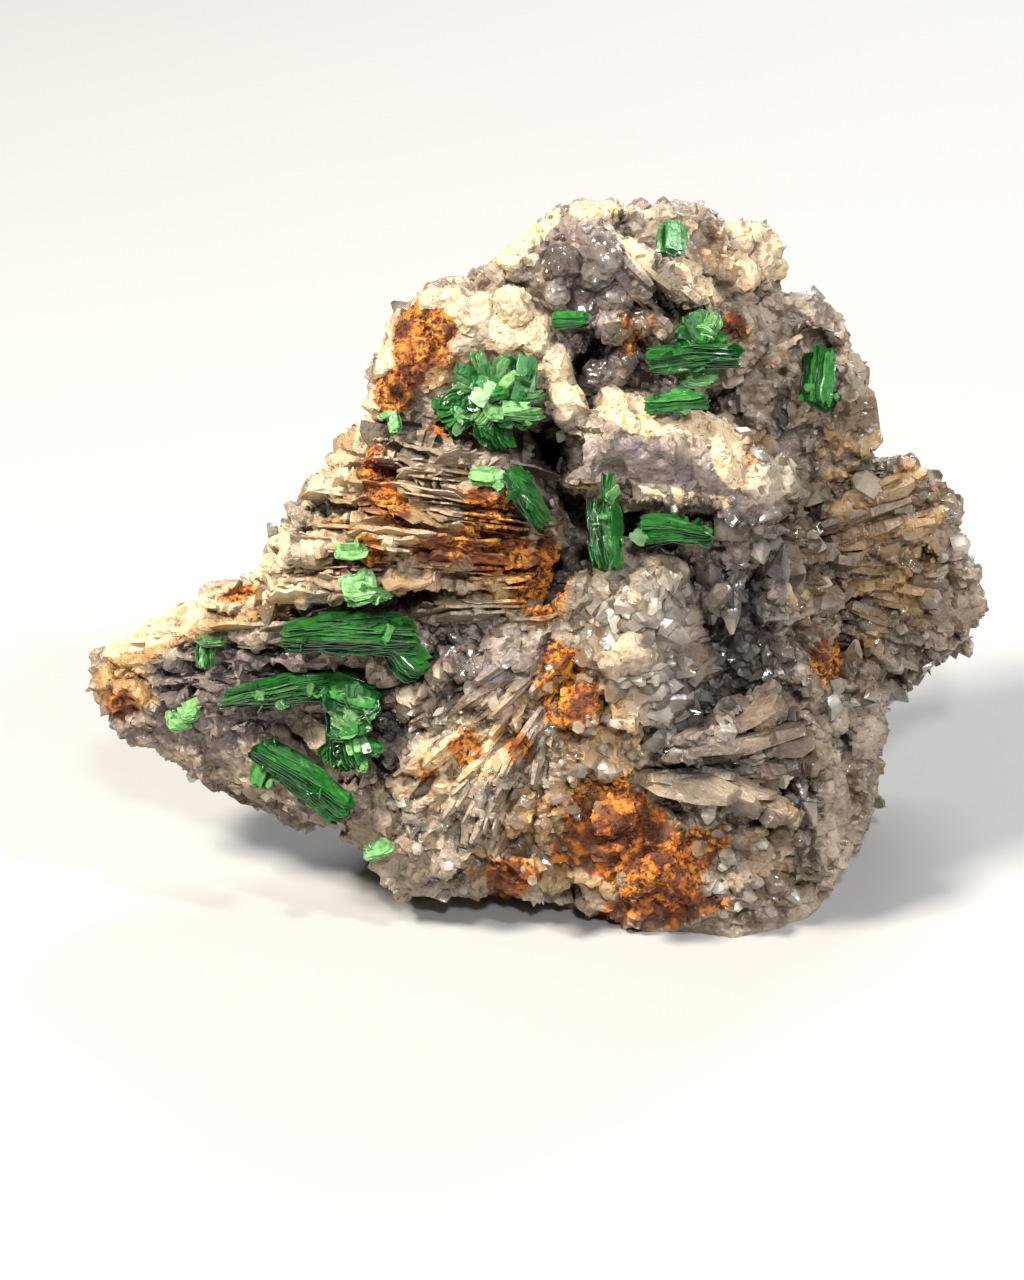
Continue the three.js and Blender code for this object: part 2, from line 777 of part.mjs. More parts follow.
const CLUSTERS = {
  upper_left_rosette: [
    book([-2.6, 28.5, 1.2], [-0.4, 0.55, 0.74], [-1, -0.4, 0], [4.4, 3.2, 1.0], 3, 22),
    book([0.2, 29.3, 1.3], [0.55, 0.15, 0.8], [0.3, 1, 0], [3.0, 2.2, 0.9], 2, 12),
    book([0.6, 27.7, 1.6], [0.05, 0.85, 0.52], [1, 0.1, 0], [2.2, 1.6, 0.5]),
    book([-0.8, 26.9, 0.9], [0.8, 0.2, 0.55], [0, -1, 0], [2.4, 1.8, 0.8], 2, 20),
  ],
  upper_right_book: [
    book([9.5, 30.7, 1.0], [-0.08, 0.95, 0.28], [-1, -0.06, 0], [5.2, 3.0, 1.0], 3, 4),
    book([9.7, 29.8, 0.6], [0.1, 0.3, 0.95], [0, -1, 0], [1.7, 2.2, 0.7]),
    book([9.8, 32.1, 0.4], [0.8, 0.1, 0.6], [0, 1, 0], [1.8, 1.5, 0.7], 2, 40),
  ],
  upper_right_blade: [
    book([8.6, 28.3, 1.7], [-0.1, 0.9, 0.42], [-1, -0.13, 0], [3.5, 1.9, 0.6], 2, 3),
  ],
  middle_sheaf: [
    book([0.8, 23.3, 1.2], [0.72, 0.42, 0.5], [0.52, -0.85, 0], [3.9, 2.1, 0.9], 3, 6),
    book([-1.3, 24.4, 1.5], [0, 0.6, 0.8], [1, -0.1, 0], [1.9, 1.2, 0.5]),
  ],
  hollow_upright_book: [
    book([4.9, 21.4, 0.6], [0.86, 0.1, 0.5], [0.08, 1, 0], [4.1, 2.2, 1.3], 3, 5),
    book([5.1, 23.8, 1.2], [0.8, 0.1, 0.6], [0.3, 1, 0], [1.7, 0.9, 0.5]),
  ],
  hollow_sheaf: [
    book([8.5, 21.6, 0.8], [0.02, 0.92, 0.4], [-1, 0.08, 0], [4.3, 2.0, 0.6], 3, 15),
  ],
  lower_left_book: [
    book([-8.4, 16.2, 1.4], [0.04, 0.9, 0.43], [1, -0.04, 0], [7.2, 3.6, 1.7], 3, 3),
    book([-5.6, 15.1, 0.9], [0.5, 0.55, 0.67], [0.5, -0.8, 0], [3.0, 2.4, 1.0]),
  ],
  lower_left_rosette: [
    book([-11.6, 13.3, 0.9], [-0.12, 0.9, 0.42], [1, 0.16, 0], [7.4, 2.4, 0.8], 3, 8),
    book([-8.3, 12.9, 1.2], [0.3, 0.6, 0.74], [1, -0.3, 0], [3.0, 2.4, 0.7]),
    book([-8.6, 10.8, 1.2], [0.82, 0.2, 0.54], [0.0, -1, 0], [4.0, 2.6, 1.0], 3, 24),
  ],
  lower_left_sheaf: [
    book([-10.8, 8.7, 1.2], [0.52, 0.72, 0.46], [0.8, -0.6, 0], [6.0, 2.4, 1.2], 3, 3),
    book([-12.9, 9.0, 1.1], [-0.3, 0.3, 0.9], [-0.4, -0.9, 0], [2.0, 1.5, 0.6]),
  ],
  step_plate: [
    book([-8.4, 20.5, 1.9], [0.15, 0.55, 0.82], [1, 0.1, 0], [1.8, 1.2, 0.4]),
  ],
  step_rosette: [
    book([-8.0, 18.6, 1.9], [0.1, 0.35, 0.93], [-1, -0.3, 0], [1.9, 1.8, 0.6]),
    book([-7.2, 18.4, 1.5], [0.2, 0.9, 0.4], [1, 0, 0], [2.0, 1.2, 0.6]),
  ],
  wing_stub: [
    book([-16.0, 15.1, 0.9], [0.9, 0.1, 0.42], [0, 1, 0], [1.6, 1.2, 0.7]),
    book([-15.8, 15.8, 1.1], [0, 0.9, 0.44], [1, 0, 0], [1.7, 1.1, 0.4]),
  ],
  wing_pair: [
    book([-17.4, 11.6, 0.9], [-0.1, 0.3, 0.95], [1, 0.2, 0], [1.5, 1.4, 0.6]),
    book([-16.8, 12.2, 0.6], [0.1, 0.4, 0.9], [1, 0.6, 0], [1.4, 1.3, 0.6]),
  ],
  edge_plate: [
    book([-6.2, 27.2, 0.8], [-0.5, 0.4, 0.77], [0.4, -0.9, 0], [1.3, 0.8, 0.4]),
  ],
  lower_edge_plate: [
    book([-7.0, 4.9, 0.5], [-0.2, 0.5, 0.84], [1, 0.3, 0], [1.7, 1.2, 0.5]),
  ],
  nodule_plate: [
    book([3.0, 32.6, 1.0], [0.05, 0.6, 0.8], [1, 0.1, 0], [2.2, 1.0, 0.5]),
  ],
  crest_crystal: [
    book([8.3, 36.8, -2.6], [0.4, 0.3, 0.87], [0.2, 1, 0], [2.0, 1.6, 0.9], 2, 5),
  ],
  far_book: [
    book([16.2, 29.6, -7.4], [0.6, 0.2, 0.78], [0.3, 1, 0], [3.6, 2.0, 1.1], 2, 4),
  ],
};

const PLATE_CORNER = 0.62; // where a plate's cut corner starts, as a share of its half width
const PLATE_BEVEL = 0.9; // the top face's size beside the foot's
const PLATE_LAP = 1.3; // a plate's thickness beside the plates' spacing, so that they grow together
const PLATE_SIZES = [0.86, 1]; // the plates' lengths and widths, as shares of the book's
const PLATE_TWIST = 0.05; // the most that one plate turns on the next, in radians

// The book's own axes: its plates run along x from the root to the free end, and stack up z.
function bookFrame({ at: [x, h, lift], normal, along }) {
  const up = seenDirection(normal);
  const run = seenDirection(along);
  run.addScaledVector(up, -run.dot(up)).normalize();
  const side = new THREE.Vector3().crossVectors(up, run);
  return new THREE.Matrix4()
    .makeBasis(run, side, up)
    .setPosition(onFace(x, h, -lift));
}

// The corner points of one plate: an eight-sided foot under a smaller top face.
function platePoints(length, width, thick) {
  const corners = [
    [1, PLATE_CORNER],
    [PLATE_CORNER, 1],
    [-PLATE_CORNER, 1],
    [-1, PLATE_CORNER],
    [-1, -PLATE_CORNER],
    [-PLATE_CORNER, -1],
    [PLATE_CORNER, -1],
    [1, -PLATE_CORNER],
  ];
  const ring = (share, z) =>
    corners.map(([x, y]) => {
      return new THREE.Vector3((x * share * length) / 2, (y * share * width) / 2, z);
    });
  return [...ring(1, -thick / 2), ...ring(PLATE_BEVEL, thick / 2)];
}

// The plates of one book, each a solid hinged at the root and fanned towards the free end.
function bookPlates(book, seed) {
  const random = randomFrom(seed);
  const frame = bookFrame(book);
  const [length, width, thickness] = book.size;
  const pitch = thickness / book.plates;
  return Array.from({ length: book.plates }, (_, i) => {
    const level = book.plates > 1 ? i / (book.plates - 1) - 0.5 : 0;
    const reach = length * between(random, ...PLATE_SIZES);
    const breadth = width * between(random, ...PLATE_SIZES);
    const opening = THREE.MathUtils.degToRad(-level * book.fan);
    const place = new THREE.Matrix4()
      .makeTranslation(-length / 2, 0, level * (thickness - pitch))
      .multiply(new THREE.Matrix4().makeRotationY(opening))
      .multiply(new THREE.Matrix4().makeRotationZ(between(random, -PLATE_TWIST, PLATE_TWIST)))
      .multiply(new THREE.Matrix4().makeTranslation(reach / 2, 0, 0));
    const whole = frame.clone().multiply(place);
    const points = platePoints(reach, breadth, pitch * PLATE_LAP);
    return hull(points.map((p) => p.applyMatrix4(whole)));
  });
}

function clusterSolid(books, index) {
  return joined(books.flatMap((book, i) => bookPlates(book, 1000 + index * 10 + i)));
}

// The pocket that a book needs in the rock: one wedge round its plates, clear of them by the gap.
function bookPocket(book) {
  const [length, width, thickness] = book.size;
  const lap = ((PLATE_LAP - 1) * thickness) / book.plates / 2;
  const slack = GAP + PLATE_TWIST * length;
  const opening = length * Math.sin(THREE.MathUtils.degToRad(book.fan / 2));
  const root = thickness / 2 + lap + GAP;
  const end = (x, half) =>
    [-1, 1].flatMap((y) =>
      [-1, 1].map((z) => {
        return new THREE.Vector3(x, y * (width / 2 + slack), z * half);
      }),
    );
  const points = [
    ...end(-length / 2 - slack, root),
    ...end(length / 2 + slack, root + opening),
  ];
  const frame = bookFrame(book);
  return hull(points.map((p) => p.applyMatrix4(frame)));
}

function meshOf(piece, name, material) {
  const { vertProperties, triVerts } = piece.getMesh();
  const geometry = new THREE.BufferGeometry();
  geometry.setAttribute("position", new THREE.BufferAttribute(vertProperties, 3));
  geometry.setIndex(new THREE.BufferAttribute(triVerts, 1));
  geometry.computeVertexNormals();
  const mesh = new THREE.Mesh(geometry, material);
  mesh.name = name;
  return mesh;
}

const QUARTZ = new THREE.MeshStandardMaterial({
  color: 0x9c8f80,
  roughness: 0.55,
  metalness: 0,
});
const TORBERNITE = new THREE.MeshStandardMaterial({
  color: 0x1f7a34,
  roughness: 0.25,
  metalness: 0,
});

const specimen = new THREE.Group();
const clusters = Object.entries(CLUSTERS);
const pockets = joined(clusters.flatMap(([, books]) => books.map(bookPocket)));
const rock = largest(quartzMatrix().subtract(pockets));
specimen.add(meshOf(rock, "quartz_matrix", QUARTZ));
clusters.forEach(([name, books], i) => {
  specimen.add(meshOf(clusterSolid(books, i), `torbernite_${name}`, TORBERNITE));
});

// The origin is put in the middle of the specimen's box, at its base.
const box = new THREE.Box3().setFromObject(specimen);
const middle = box.getCenter(new THREE.Vector3());
specimen.position.set(-middle.x, -middle.y, -box.min.z);

export default specimen;
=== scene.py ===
"""A torbernite specimen: a bladed quartz rock with books of green torbernite plates on its face.

Lengths are in millimetres while a mesh is made, and become metres when it is given to Blender. Places on the
face are given as they are seen by an eye in front and a little above: x to the right, h up, both in the
specimen's own millimetres, and lift towards the eye.
"""

import logging
import math
from dataclasses import dataclass, field
from enum import Enum
from itertools import product

import bpy
import numpy as np
from mathutils import Matrix, Vector
from mathutils.bvhtree import BVHTree


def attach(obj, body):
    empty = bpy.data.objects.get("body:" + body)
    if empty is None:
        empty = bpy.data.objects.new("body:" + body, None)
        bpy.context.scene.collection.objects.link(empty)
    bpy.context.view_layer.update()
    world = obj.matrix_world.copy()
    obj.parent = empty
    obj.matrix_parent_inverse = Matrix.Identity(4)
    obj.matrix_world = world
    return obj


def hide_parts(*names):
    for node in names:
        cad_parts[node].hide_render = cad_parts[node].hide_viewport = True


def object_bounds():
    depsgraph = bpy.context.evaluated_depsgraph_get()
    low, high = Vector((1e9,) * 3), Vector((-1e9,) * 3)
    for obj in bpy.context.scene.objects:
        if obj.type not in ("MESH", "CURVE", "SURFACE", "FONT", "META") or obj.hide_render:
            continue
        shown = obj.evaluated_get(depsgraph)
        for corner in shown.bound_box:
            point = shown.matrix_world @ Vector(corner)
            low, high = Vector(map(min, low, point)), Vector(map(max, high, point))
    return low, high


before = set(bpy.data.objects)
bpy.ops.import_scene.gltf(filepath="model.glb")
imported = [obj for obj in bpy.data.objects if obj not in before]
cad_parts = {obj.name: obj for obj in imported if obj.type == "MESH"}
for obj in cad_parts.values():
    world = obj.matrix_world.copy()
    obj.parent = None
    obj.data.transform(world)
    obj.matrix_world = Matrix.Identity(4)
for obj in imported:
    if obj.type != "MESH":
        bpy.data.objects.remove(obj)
CAD_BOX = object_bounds()
LOG = logging.getLogger("torbernite")

Array = np.ndarray
Piece = bpy.types.Object
Socket = bpy.types.NodeSocket
Two = tuple[float, float]
Three = tuple[float, float, float]

MM = 0.001
# How far the CAD model's own axes stand from the specimen's, in millimetres
SHIFT = np.array([-1.944718, -14.723031, 0.0])


@dataclass(frozen=True)
class Eye:
    """The eye that places on the face are given by, and the face's depth behind the foremost plane."""

    look_down: float = math.radians(22.0)
    distance: float = 220.0
    axis_height: float = 15.85
    target: Three = (0.0, 8.0, 15.3)
    front: float = 3.0
    middle: float = 3.0
    curve: float = 0.012
    waist: float = 20.0
    lean: float = 0.35

    @property
    def right(self) -> Array:
        """The direction to the right."""
        return np.array([1.0, 0.0, 0.0])

    @property
    def up(self) -> Array:
        """The direction up, as seen."""
        return np.array([0.0, math.sin(self.look_down), math.cos(self.look_down)])

    @property
    def towards(self) -> Array:
        """The direction from the face to the eye."""
        return np.array([0.0, -math.cos(self.look_down), math.sin(self.look_down)])

    @property
    def place(self) -> Array:
        """Where the eye stands, in the specimen's axes."""
        return np.array(self.target) + self.towards * self.distance + SHIFT

    @property
    def centre(self) -> Array:
        """What the eye looks at, in the specimen's axes."""
        return np.array(self.target) + SHIFT

    def on_picture(self, x: Array, h: Array) -> Array:
        """Gives the points of the upright plane through the target that are seen at places x and heights h."""
        x, h = np.atleast_1d(x), np.atleast_1d(h)
        return self.centre + np.outer(x, self.right) + np.outer(h - self.axis_height, self.up)

    def face_depth(self, x: Array, h: Array) -> Array:
        """Gives how far the face lies behind the foremost plane at places x and heights h."""
        aside = self.curve * (x - self.middle) ** 2
        return self.front + aside + self.lean * np.maximum(0.0, h - self.waist)

    def seen(self, x: Array, h: Array, depth: Array) -> Array:
        """Gives the points at a depth that are seen at x and h.

        Args:
            x: Places to the right.
            h: Heights.
            depth: Depths behind the foremost plane.

        Returns:
            One point for each place, in the specimen's axes.
        """
        sight = self.on_picture(x, h) - self.place
        share = (np.atleast_1d(depth) + SHIFT[1] - self.place[1]) / sight[:, 1]
        return self.place + sight * share[:, None]

    def on_face(self, x: float, h: float, lift: float = 0.0) -> Array:
        """Gives a point of the face, or one that stands in front of it by the lift."""
        return self.seen(x, h, self.face_depth(x, h) - lift)[0]

    def direction(self, seen: Three) -> Array:
        """Turns a direction given as right, up and towards the eye into the specimen's axes."""
        way = seen[0] * self.right + seen[1] * self.up + seen[2] * self.towards
        return way / np.linalg.norm(way)

    def picture(self, points: Array) -> tuple[Array, Array]:
        """Gives where points are seen.

        Args:
            points: Points in the specimen's axes.

        Returns:
            Their places x and h.
        """
        sight = points - self.place
        share = self.distance / -(sight @ self.towards)
        hit = self.place + sight * share[:, None] - self.centre
        return hit @ self.right, hit @ self.up + self.axis_height


EYE = Eye()


def unit(ways: Array) -> Array:
    """Makes each direction one long."""
    return ways / np.linalg.norm(ways, axis=-1, keepdims=True)


HASH_AXES = (73856093, 19349663, 83492791)
HASH_SEED, HASH_START, HASH_MIX = 2654435761, 12345, 0x2C1B3C6D
HASH_SHIFTS = (15, 13, 16)
HASH_WORD = np.uint64(0xFFFFFFFF)
# Moves the lattice so far off that no point of the specimen lies at a negative cell
LATTICE_START = 1000.0


def hashed(cells: Array, seed: int) -> Array:
    """Gives each lattice cell a repeatable number.

    Args:
        cells: Whole-number cells, one row each.
        seed: Sets the pattern apart from others.

    Returns:
        Numbers from 0 to 1.
    """
    c = cells.astype(np.uint64)
    x, y, z = (c[:, k] * np.uint64(HASH_AXES[k]) for k in range(3))
    mix = ((x ^ y ^ z) + np.uint64(seed * HASH_SEED + HASH_START)) & HASH_WORD
    for shift in HASH_SHIFTS:
        mix ^= mix >> np.uint64(shift)
        mix = (mix * np.uint64(HASH_MIX)) & HASH_WORD
    return (mix >> np.uint64(8)).astype(float) / float(1 << 24)


def noise(points: Array, size: float | Three, seed: int) -> Array:
    """Gives smooth noise.

    Args:
        points: Where it is read, in millimetres.
        size: The size of its features, or one size for each axis.
        seed: Sets the pattern apart from others.

    Returns:
        Values from -1 to 1.
    """
    place = points / np.asarray(size, float) + LATTICE_START
    cell = np.floor(place)
    part = place - cell
    part = part * part * (3.0 - 2.0 * part)
    total = np.zeros(len(points))
    for corner in product((0, 1), repeat=3):
        share = np.prod(np.where(corner, part, 1.0 - part), axis=1)
        total += share * hashed((cell + corner).astype(np.int64), seed)
    return total * 2.0 - 1.0


def layered(points: Array, size: float, layers: int, seed: int) -> Array:
    """Adds up layers of noise, each of half the size and half the strength of the last."""
    total = sum(noise(points, size / 2**i, seed + i) / 2**i for i in range(layers))
    return total / (2.0 - 0.5 ** (layers - 1))


def cells(points: Array, size: float, seed: int) -> tuple[Array, Array, Array]:
    """Finds the crystal cell that each point lies in.

    Args:
        points: Where it is read, in millimetres.
        size: The cells' size.
        seed: Sets the pattern apart from others.

    Returns:
        The way from the cell's middle to the point, the cell's own three numbers from 0 to 1, and how much
        nearer its middle is than the next cell's.
    """
    place = points / size + LATTICE_START
    base = np.floor(place).astype(np.int64)
    nearest = np.full(len(points), 9.0)
    second = np.full(len(points), 9.0)
    way = np.zeros((len(points), 3))
    owner = base.copy()
    for step in product((-1, 0, 1), repeat=3):
        cell = base + step
        middle = cell + np.stack([hashed(cell, seed + k) for k in range(3)], axis=1)
        gap = place - middle
        far = np.linalg.norm(gap, axis=1)
        closer = far < nearest
        second = np.where(closer, nearest, np.minimum(second, far))
        nearest = np.where(closer, far, nearest)
        way[closer] = gap[closer]
        owner[closer] = cell[closer]
    own = np.stack([hashed(owner, seed + 3 + k) for k in range(3)], axis=1)
    return way * size, own, (second - nearest) * size


def smooth(low: float, high: float, value: Array) -> Array:
    """Rises smoothly from 0 at the low end to 1 at the high end."""
    share = np.clip((value - low) / (high - low), 0.0, 1.0)
    return share * share * (3.0 - 2.0 * share)


@dataclass(frozen=True)
class Patch:
    """An oval region of the face, given by its middle and half sizes as seen."""

    x: float
    h: float
    wide: float
    high: float
    strength: float = 1.0
    turn: float = 0.0

    def inside(self, x: Array, h: Array) -> Array:
        """Gives how deep inside the oval each place lies.

        Args:
            x: Places to the right.
            h: Heights.

        Returns:
            1 in the middle, 0 on the edge and less outside.
        """
        turn = math.radians(self.turn)
        across, along = x - self.x, h - self.h
        u = (across * math.cos(turn) + along * math.sin(turn)) / self.wide
        v = (along * math.cos(turn) - across * math.sin(turn)) / self.high
        return 1.0 - np.sqrt(u * u + v * v)


def ovals(*rows: tuple[float, ...]) -> list[Patch]:
    """Makes a patch of each row of numbers, which come in the order of its fields."""
    return [Patch(*row) for row in rows]


class Seen:
    """Where a set of points is seen on the face, for masks of patches."""

    # The specimen's far right part stands this much further back than its face, from the first place to the second
    FAR_DEPTH = 8.0
    FAR_START, FAR_FULL = 14.6, 16.6
    # Points further than this from the face, in depth, belong to the back
    NEAR_FULL, NEAR_END = 5.0, 8.0

    def __init__(self, points: Array) -> None:
        """Works out what every mask needs.

        Args:
            points: Points in the specimen's axes, in millimetres.
        """
        self.x, self.h = EYE.picture(points)
        self.depth = points[:, 1] - SHIFT[1] - EYE.face_depth(self.x, self.h)
        back = self.FAR_DEPTH * smooth(self.FAR_START, self.FAR_FULL, self.x)
        self.near = 1.0 - smooth(self.NEAR_FULL, self.NEAR_END, np.abs(self.depth - back))
        self.stray = 1.7 * layered(points, 2.2, 4, 5)

    def mask(self, rows: list[Patch], ragged: float = 0.35, soft: float = 0.35) -> Array:
        """Gives the strongest of several patches at each point.

        Args:
            rows: The patches.
            ragged: How far their edges stray, as a share of their sizes.
            soft: How gradual their edges are.

        Returns:
            Values from 0 outside to a patch's strength inside.
        """
        total = np.zeros(len(self.x))
        for row in rows:
            depth = row.inside(self.x, self.h) + ragged * self.stray
            total = np.maximum(total, row.strength * smooth(0.0, soft, depth))
        return total * self.near


class Stain(Enum):
    """What colours the rock in places: stains, and painted shade."""

    RUST = "rust"
    UMBER = "umber"
    CREAM = "cream"
    MAUVE = "mauve"
    SHADE = "shade"
    OCHRE = "ochre"


STAINS: dict[Stain, list[Patch]] = {
    Stain.RUST: ovals(
        (3.2, 13.0, 2.1, 2.7), (5.4, 7.0, 2.6, 2.4, 0.9), (7.4, 3.4, 3.4, 2.5, 0.9), (9.8, 4.8, 2.2, 1.6, 0.8, 40),
        (1.4, 19.0, 1.7, 2.4, 1.0, -30), (-1.0, 21.0, 2.6, 1.8, 0.95, -35), (-1.5, 22.6, 1.6, 1.6, 0.9),
        (-3.6, 20.6, 1.6, 1.0, 0.7), (-6.8, 23.6, 1.2, 2.8, 0.95, 22), (-7.4, 20.8, 0.9, 1.4, 0.7, 20),
        (-4.9, 31.2, 1.9, 2.6, 1.0, -20), (-6.0, 28.8, 1.2, 1.8, 0.8), (-3.2, 27.0, 1.4, 0.7, 0.7),
        (13.2, 28.2, 1.3, 3.0, 1.0), (11.8, 31.8, 1.0, 1.6, 0.7), (16.2, 15.0, 1.0, 1.6, 0.8),
        (6.2, 31.8, 1.0, 1.2, 0.8), (0.1, 3.6, 1.6, 1.1, 0.8), (-2.4, 10.3, 1.0, 1.1, 0.75),
        (0.3, 10.2, 0.9, 1.0, 0.8), (-4.4, 8.8, 0.8, 0.9, 0.6), (9.8, 14.8, 0.8, 1.2, 0.6),
        (-20.4, 12.6, 0.8, 0.9, 0.6), (-14.4, 18.2, 1.4, 0.5, 0.7, 18),
    ),
    Stain.UMBER: ovals(
        (6.0, 5.4, 3.8, 3.0, 0.9), (7.8, 2.0, 4.0, 1.5, 1.0), (-0.3, 3.2, 1.8, 1.2, 1.0),
        (-2.0, 20.2, 2.8, 1.0, 0.5, -25), (-7.4, 22.6, 0.9, 2.2, 0.6, 20), (13.2, 27.0, 1.5, 3.2, 0.8),
        (6.3, 32.4, 1.0, 1.0, 1.0), (-5.4, 29.6, 1.4, 2.0, 0.7), (-20.2, 12.6, 1.4, 1.0, 0.8, -30),
        (3.2, 11.2, 1.6, 0.9, 0.6),
    ),
    Stain.CREAM: ovals(
        (-14.4, 18.0, 4.4, 0.9, 1.0, 14), (-18.8, 16.2, 3.4, 0.9, 0.9, 24), (-12.4, 20.6, 1.0, 2.4, 0.9, -30),
        (-9.6, 24.2, 0.9, 2.6, 1.0, -40), (-7.6, 27.0, 0.9, 2.2, 1.0, -10), (-6.6, 30.6, 0.8, 2.4, 0.7),
        (-3.4, 33.6, 2.4, 1.2, 0.9, 10), (0.2, 31.6, 2.4, 2.2, 0.85), (3.0, 29.0, 1.4, 2.2, 0.8),
        (0.6, 36.8, 2.4, 0.8, 1.0, 45), (4.4, 38.4, 1.6, 0.6, 1.0), (7.2, 27.6, 5.2, 1.3, 1.0, -10),
        (12.2, 25.4, 2.2, 1.7, 0.95, -35), (7.2, 23.5, 4.4, 0.4, 0.7, -6), (6.6, 33.2, 1.0, 0.9, 0.7),
        (7.0, 35.6, 3.4, 0.7, 0.9, -48), (9.2, 35.4, 3.2, 0.7, 0.8, -50), (12.6, 36.4, 2.0, 1.6, 1.0),
        (5.4, 16.6, 2.4, 2.6, 0.5), (-2.6, 9.8, 3.6, 2.0, 0.5), (-4.4, 8.0, 3.4, 1.2, 0.5),
        (14.8, 6.4, 2.0, 2.0, 0.4), (19.0, 22.0, 4.0, 3.0, 0.3),
    ),
    Stain.MAUVE: ovals(
        (-15.0, 12.8, 7.0, 3.6, 0.9), (-8.0, 9.0, 3.6, 3.0, 0.5), (6.6, 25.0, 4.6, 1.6, 1.0, -8),
        (4.2, 35.6, 3.0, 2.6, 0.9), (4.6, 32.2, 2.2, 2.4, 0.9), (12.4, 20.0, 3.0, 4.6, 0.8),
        (11.0, 15.0, 3.6, 3.4, 0.7), (-1.0, 14.8, 3.0, 2.6, 0.6), (2.0, 6.0, 3.0, 3.0, 0.4),
        (9.6, 12.0, 3.0, 2.4, 0.5),
    ),
    Stain.OCHRE: ovals(
        (4.4, 5.6, 5.6, 4.6, 0.7), (-0.6, 12.2, 2.6, 2.0, 0.4), (13.0, 29.4, 2.6, 5.0, 0.6),
        (-7.0, 21.4, 6.5, 5.0, 0.5), (-14.5, 17.6, 5.4, 1.5, 1.0, 18), (-19.2, 15.6, 2.6, 1.2, 1.0, 24),
        (-20.2, 13.4, 2.2, 1.8, 0.8, -30), (-2.2, 9.8, 3.4, 1.5, 0.9), (-4.6, 8.4, 2.0, 1.2, 0.6),
        (-5.0, 30.6, 2.6, 3.0, 0.8), (-8.8, 25.4, 1.6, 3.6, 0.6, -35), (0.4, 19.0, 3.2, 2.6, 0.7, -30),
        (4.6, 11.0, 2.8, 5.0, 0.6), (11.8, 35.6, 3.0, 3.0, 0.4), (19.0, 22.0, 6.0, 8.0, 0.7),
        (15.6, 18.0, 1.8, 3.0, 0.5), (14.0, 5.0, 3.4, 3.4, 0.35), (0.0, 3.8, 3.0, 1.6, 0.6),
    ),
    # Painted shade: patches where the colour is darkened to stand in for the shade in hollows, cavities, gaps between
    # ledges and the far right part
    Stain.SHADE: ovals(
        (11.4, 16.8, 2.4, 2.6, 0.8), (9.0, 18.6, 1.6, 0.7, 0.7, 30), (8.4, 15.0, 0.6, 2.0, 0.7, -20),
        (10.4, 12.0, 2.4, 0.7, 0.9, 10), (14.4, 16.2, 1.2, 2.4, 0.7), (10.8, 17.0, 1.5, 1.9), (13.8, 20.2, 1.4, 2.6),
        (12.6, 13.4, 3.0, 1.2, 0.6), (7.6, 34.2, 1.5, 1.9), (4.2, 30.2, 1.3, 1.5, 0.8), (7.2, 30.0, 1.4, 1.2, 0.9),
        (2.6, 26.0, 1.3, 1.8), (1.0, 24.0, 1.2, 1.2, 0.7), (9.0, 21.4, 4.4, 1.6, 0.8), (15.6, 22.6, 1.4, 4.8),
        (14.6, 27.4, 1.0, 3.0, 0.7), (11.0, 9.6, 5.0, 0.9, 0.8, 8), (12.0, 6.8, 4.0, 0.6, 0.7, -8),
        (14.6, 10.6, 1.4, 2.0, 0.8), (-6.9, 11.2, 1.5, 2.6), (-10.6, 11.6, 2.4, 0.6, 0.8, 10),
        (19.4, 20.0, 6.0, 9.0, 0.35), (18.4, 17.4, 3.4, 1.0, 0.8, -16), (19.4, 22.4, 3.4, 1.0, 0.8, 14),
        (18.6, 14.6, 2.6, 0.8, 0.8, -30), (18.0, 27.6, 2.2, 1.2, 0.8), (15.2, 5.0, 1.0, 3.0, 0.7),
        (11.4, 5.0, 2.4, 0.5, 0.8, -14), (9.2, 7.8, 1.4, 0.5, 0.8, 20), (12.6, 2.6, 1.8, 0.5, 0.7, 10),
        (-3.4, 12.6, 2.4, 0.4, 0.6, 48), (-0.6, 8.2, 2.4, 0.4, 0.6, 56), (17.4, 19.8, 3.6, 1.2, 0.8),
        (18.4, 25.0, 2.4, 0.9, 0.7, -20), (3.0, 9.6, 0.8, 1.6, 0.6),
    ),
}


@dataclass(frozen=True)
class Book:
    """A book of torbernite plates on the face, with its place, directions and size as seen."""

    at: Three
    normal: Three
    along: Three
    size: Three
    fan: float = 0.0
    plates: int = 8
    curl: float = 0.0
    pale: float = 0.2
    flakes: float = 1.6
    terrace: float = 1.0

    @property
    def axes(self) -> Array:
        """The book's directions.

        Returns:
            As columns: along it, across it, and out of its plates.
        """
        normal = EYE.direction(self.normal)
        along = EYE.direction(self.along)
        along = unit(along - normal * (along @ normal))
        return np.stack([along, np.cross(normal, along), normal], axis=1)

    def near(self, points: Array, margin: float) -> Array:
        """Tells which points lie in the book or within a margin of it, in millimetres."""
        local = (points - EYE.on_face(*self.at)) @ self.axes
        return (np.abs(local) < np.array(self.size) / 2 + margin).all(axis=1)


# Near the golden angle, so that a rosette's books spread evenly
ROSETTE_TURN = 2.4


